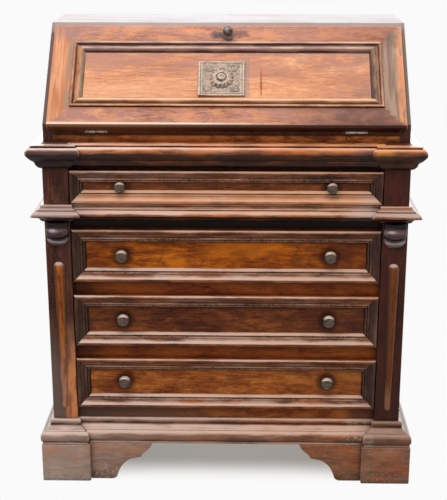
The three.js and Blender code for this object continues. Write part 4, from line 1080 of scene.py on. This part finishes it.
# Height of the embossing of the plate at a place from its middle
def plate_height(x, y):
    rim = min(PLATE_WIDE / 2 - abs(x), PLATE_HIGH / 2 - abs(y))
    height = PLATE_THICK
    height += 0.0008 * step(rim, 0.0, 0.0016) * (1 - step(rim, 0.0036, 0.0056))
    height += 0.0004 * step(rim, 0.007, 0.008) * (1 - step(rim, 0.009, 0.0102))
    reach = math.hypot(x, y)
    share = reach / BOSS
    if share < 1:
        dome = 0.0074 * (1 - share ** 2.4) ** 0.75
        flute = 0.5 + 0.5 * math.cos(15 * math.atan2(y, x))
        flute *= step(share, 0.66, 0.85) * (1 - step(share, 0.96, 1.0))
        groove = 0.0016 * bell(reach, 0.0116, 0.0014)
        button = 0.0022 * (1 - step(reach, 0.0062, 0.0098))
        pit = 0.0006 * bell(reach, 0, 0.002)
        return max(height, PLATE_THICK - 0.0004 + dome - 0.0012 * flute - groove + button - pit)
    if rim > 0.0096:
        beyond, above = abs(x) - BOSS * 0.78, abs(y) - BOSS * 0.72
        along_leaf = beyond * 0.74 + above * 0.67
        off = beyond * 0.67 - above * 0.74
        half = 0.0068 * math.sin(math.pi * min(max(along_leaf / 0.021, 0.0), 1.0)) ** 0.7
        half *= 1 + 0.22 * math.cos(along_leaf * 1400)
        if half > 0 and abs(off) < half:
            leaf = math.sqrt(1 - (off / half) ** 2)
            vein = 0.45 * bell(off, 0, 0.0007)
            height += 0.0016 * max(0.0, leaf - vein)
        bead = math.cos(x * 950) * math.cos(y * 950)
        studs = 0.0011 * max(0.0, bead) ** 1.5 * step(rim, 0.0104, 0.0118)
        height += studs * step(share, 1.02, 1.1)
    return height


# Embossed plate of the fall, its lower left corner a little lifted
def fall_plate():
    wide, high = 136, 122
    points = []
    tops = np.zeros((high + 1, wide + 1))
    for j in range(high + 1):
        for i in range(wide + 1):
            x = PLATE_WIDE * (i / wide - 0.5)
            y = PLATE_HIGH * (j / high - 0.5)
            tops[j, i] = plate_height(x, y) + 0.0003 * noise.noise(Vector((x, y, 0)) * 260)
            points.append((x, y, tops[j, i]))
    padded = np.pad(tops, 3, mode="edge")
    near = range(-3, 4)
    around = sum(np.roll(np.roll(padded, a, 0), b, 1) for a in near for b in near) / 49
    # Tone: patina by how far a place stands above its surroundings, less on faces falling down the
    # slope, which is painted shade
    falling = np.gradient(tops, PLATE_HIGH / high, axis=0)
    tones = (tops - around[3:-3, 3:-3]) / 0.00045 - np.clip(falling, 0, 0.9) * 1.7
    tones = list(np.clip(tones, -1, 1).ravel())
    faces = close_behind(points, tones, high, wide, 2, 0.0, -0.6)
    lifted = []
    for x, y, z in points:
        corner = step(-x / PLATE_WIDE - y / PLATE_HIGH, 0.6, 1.0)
        lifted.append((x, y, z + PLATE_LIFT * corner))
    mesh = make_mesh("fall_plate_embossed", lifted, faces, tones=tones)
    mesh.transform(Matrix.Translation(PLATE_PLACE))
    made = make_object(
        "fall_plate_embossed", mesh, [plate_metal], "fall", ("fall_plate",), 50)
    made.matrix_world = FALL_PLACE


fall_plate()

# Half-round tapering spindles
SPINDLE_FOOT, SPINDLE_TOP = 0.175, 0.5305
SPINDLE_WIDE, SPINDLE_NARROW = 0.0128, 0.0067


def spindle(side_name, side):
    profile = []
    for k in range(9):
        angle = math.pi / 2 * k / 8
        up = SPINDLE_NARROW * (1 - math.cos(angle))
        profile.append((SPINDLE_NARROW * math.sin(angle), SPINDLE_FOOT + up))
    low, high = SPINDLE_FOOT + SPINDLE_NARROW, SPINDLE_TOP - SPINDLE_WIDE
    for k in range(1, 40):
        t = k / 40
        radius = SPINDLE_NARROW + (SPINDLE_WIDE - SPINDLE_NARROW) * t
        profile.append((radius, low + (high - low) * t))
    for k in range(11):
        angle = math.pi / 2 * k / 10
        up = SPINDLE_TOP - SPINDLE_WIDE * (1 - math.sin(angle))
        profile.append((SPINDLE_WIDE * math.cos(angle), up))
    turns = 20
    points = []
    for r, z in profile:
        for k in range(turns + 1):
            angle = math.pi * k / turns
            worn = worn_in((r * math.cos(angle) + side, z, angle), SPINDLE_DENT) if r > 0.002 else 0
            radius = r - worn
            points.append((side * POST_CENTRE + radius * math.cos(angle),
                           FRONT - SEAT - radius * math.sin(angle), z))
    name = f"spindle_{side_name}_turned"
    mesh = make_mesh(name, points, between(len(profile), turns + 1))
    make_object(
        name, mesh, [spindle_wood], "carcass", (f"spindle_{side_name}",), 40)


# Carved corbels: a scrolled profile under a bellied outline, with painted highlights on the roll
# and belly and painted shade under the roll and in the neck
CORBEL_FOOT, CORBEL_TOP, CORBEL_WIDE, CORBEL_DEEP = 0.567, 0.6231, 0.052, 0.017
CORBEL_SIDE = [
    (0.05, 0), (0.22, 0.03), (0.4, 0.1), (0.52, 0.18), (0.56, 0.26), (0.5, 0.32), (0.36, 0.37),
    (0.32, 0.41), (0.46, 0.46), (0.78, 0.52), (0.97, 0.59), (1, 0.66), (0.93, 0.73), (0.72, 0.79),
    (0.54, 0.84), (0.48, 0.9), (0.52, 0.96), (0.6, 1),
]
CORBEL_FRONT = [
    (0.2, 0), (0.29, 0.04), (0.38, 0.12), (0.44, 0.22), (0.47, 0.32), (0.48, 0.42), (0.5, 0.54),
    (0.5, 0.68), (0.485, 0.78), (0.475, 0.88), (0.49, 1),
]


# Share of a section at a height, between its points
def section_at(section, up):
    for (a, low), (b, high) in zip(section, section[1:]):
        if low <= up <= high:
            return a + (b - a) * (up - low) / max(high - low, 1e-9)
    return section[-1][0]


def corbel(side_name, side):
    deep = smooth_section(CORBEL_SIDE, 5, 70)
    rows, across = 64, 26
    points, tones = [], []
    for j in range(rows + 1):
        up = j / rows
        half = section_at(CORBEL_FRONT, up) * CORBEL_WIDE
        for i in range(across + 1):
            u = 2 * i / across - 1
            sag = 0.11 * (1 - u * u) * step(0.62 - up, 0.0, 0.2) * step(up, 0.08, 0.28)
            place = min(1.0, up + sag)
            rounding = (1 - abs(u) ** 3.2) ** (1 / 3.2)
            y = max(0.0004, section_at(deep, place) * CORBEL_DEEP * rounding)
            worn = worn_in((u * half + side, y, up), CORBEL_DENT)
            # Painted highlight on the roll and the belly, painted shade in the groove under the
            # roll and in the neck
            lit = bell(place, 0.72, 0.05) * (0.2 + 0.9 * bell(u, -0.35, 0.3))
            belly = 0.45 * bell(place, 0.3, 0.09) * (0.4 + 0.6 * abs(u))
            groove = bell(place, 0.47, 0.08) + 0.9 * step(place, 0.78, 0.86)
            tones.append(max(-1.0, min(1.0, lit + belly - groove)))
            points.append((side * POST_CENTRE + u * half, FRONT - SEAT - max(0.0003, y - worn),
                           CORBEL_FOOT + up * (CORBEL_TOP - CORBEL_FOOT)))
    name = f"corbel_{side_name}_carved"
    faces = close_behind(points, tones, rows, across, 1, FRONT - SEAT, -0.8)
    mesh = make_mesh(name, points, faces, tones=tones)
    make_object(
        name, mesh, [corbel_wood], "carcass", (f"corbel_{side_name}",), 50)


for side_name, side in SIDES:
    spindle(side_name, side)
    corbel(side_name, side)

# Boards, frames and boxes with rounded edges: node, rounding, look, slot, limit and segments
PAIRS = [
    ("side_board", 0.0009, case_up, "case_wood"), ("post", 0.0012, case_up, "case_wood"),
    ("plinth_block", 0.0022, block_wood, "moulding_wood", 40, 3),
    ("bracket", 0.0009, bracket_wood, "moulding_wood", 40),
    ("side_plinth", 0.0009, case_deep, "moulding_wood", 40),
    ("small_drawer", 0.0006, inner_wood, "inner_wood", 40),
    ("stay", 0.0004, hinge_metal, "hinge_steel", 40),
    ("hinge_leaf", 0.0002, hinge_metal, "hinge_steel", 40),
    ("hinge_strap", 0.0002, hinge_metal, "hinge_steel", 40),
]
SINGLES = [
    ("top_board", 0.0012, top_wood, "case_wood"), ("back_panel", 0.0006, case_up, "case_wood"),
    ("bottom_board", 0.0008, case_long, "case_wood"),
    ("desk_floor", 0.0008, case_long, "case_wood"),
    *[(f"drawer_frame_{level}", 0.0009, case_long, "case_wood")
      for level in ("lower", "middle", "upper")],
    *[(f"drawer_{index}_box", 0.0006, inner_deep, "inner_wood") for index in range(1, 5)],
    ("gallery", 0.0006, inner_wood, "inner_wood"),
]
both = [(f"{node}_{side}", *rest) for side, _ in SIDES for node, *rest in PAIRS]
for node, *settings in both + SINGLES:
    soften(node, *settings)

# Floor, pale, with a glow that only the camera and reflections see
FLOOR_HALF, FLOOR_LEVEL = 9, -0.0002
GLOW_HALF, GLOW_FADE = (0.325, 0.09, 1), 0.135
PAPER = (0.956, 0.956, 0.956, 1)
floor_mesh = bpy.data.meshes.new("floor")
corners = [(x * FLOOR_HALF, y * FLOOR_HALF, FLOOR_LEVEL)
           for x, y in ((-1, -1), (1, -1), (1, 1), (-1, 1))]
floor_mesh.from_pydata(corners, [], [(0, 1, 2, 3)])
floor = bpy.data.objects.new("floor", floor_mesh)
bpy.context.scene.collection.objects.link(floor)
look = bpy.data.materials.new("floor")
tree = Tree(look)
dull = tree.node("ShaderNodeBsdfDiffuse", {"Color": (0.3, 0.29, 0.28, 1)})[0]
pale = tree.node("ShaderNodeBsdfDiffuse", {"Color": (0.66, 0.63, 0.57, 1)})[0]
glow = tree.node("ShaderNodeEmission", {"Color": (1, 0.97, 0.91, 1), "Strength": 0.28})[0]
under = tree.node("ShaderNodeAddShader", {0: pale, 1: glow})[0]
far = tree.node("ShaderNodeEmission", {"Color": PAPER})[0]
away = tree.vector("ABSOLUTE", tree.node("ShaderNodeTexCoord")["Object"])[0]
beyond = tree.vector("SUBTRACT", away, GLOW_HALF)[0]
reach = tree.vector("LENGTH", tree.vector("MAXIMUM", beyond)[0])["Value"]
shown = tree.blend(tree.ramp(reach, 0.0, GLOW_FADE), under, far)
tree.put(tree.end, tree.blend(tree.seen("Is Camera Ray", "Is Glossy Ray"), dull, shown))
floor_mesh.materials.append(look)

# World: white where it is seen, softer where it lights
world = bpy.data.worlds.new("studio")
bpy.context.scene.world = world
tree = Tree(world, "ShaderNodeOutputWorld")
soft = tree.node("ShaderNodeBackground", {"Color": (1, 0.99, 0.97, 1), "Strength": 0.5})[0]
white = tree.node("ShaderNodeBackground", {"Color": PAPER, "Strength": 1.0})[0]
rays = tree.seen("Is Camera Ray", "Is Transmission Ray", "Is Glossy Ray")
tree.put(tree.end, tree.blend(rays, soft, white))


# Soft lamp that looks at a point
def lamp(name, place, target, wide, high, power, colour):
    data = bpy.data.lights.new(name, "AREA")
    data.shape = "RECTANGLE"
    data.size, data.size_y = wide, high
    data.energy = power
    data.color = colour
    made = bpy.data.objects.new(name, data)
    made.location = place
    made.rotation_euler = (Vector(target) - Vector(place)).to_track_quat("-Z", "Y").to_euler()
    made.visible_camera = False
    bpy.context.scene.collection.objects.link(made)


lamp("overhead", (-0.5, -1.3, 3.0), (0, 0, 0.6), 2.6, 1.8, 40, (1, 0.985, 0.96))
lamp("strip", (0.0, 0.1, 3.1), (0, -0.2, 0.6), 3.0, 0.3, 16, (1, 0.98, 0.98))
lamp("rear", (0, 2.3, 1.9), (0, 0, 0.9), 3.4, 1.5, 24, (0.97, 0.98, 1))

# Camera, fitted to the photograph
camera_data = bpy.data.cameras.new("camera")
camera_data.lens = 81.95
camera_data.sensor_width = 36
camera = bpy.data.objects.new("camera", camera_data)
camera.location = (0.0444, -2.5965, 1.3061)
camera.rotation_euler = (math.radians(90 - 17.22), 0, 0.02058)
bpy.context.scene.collection.objects.link(camera)
bpy.context.scene.camera = camera
bpy.context.scene.view_settings.view_transform = "Standard"
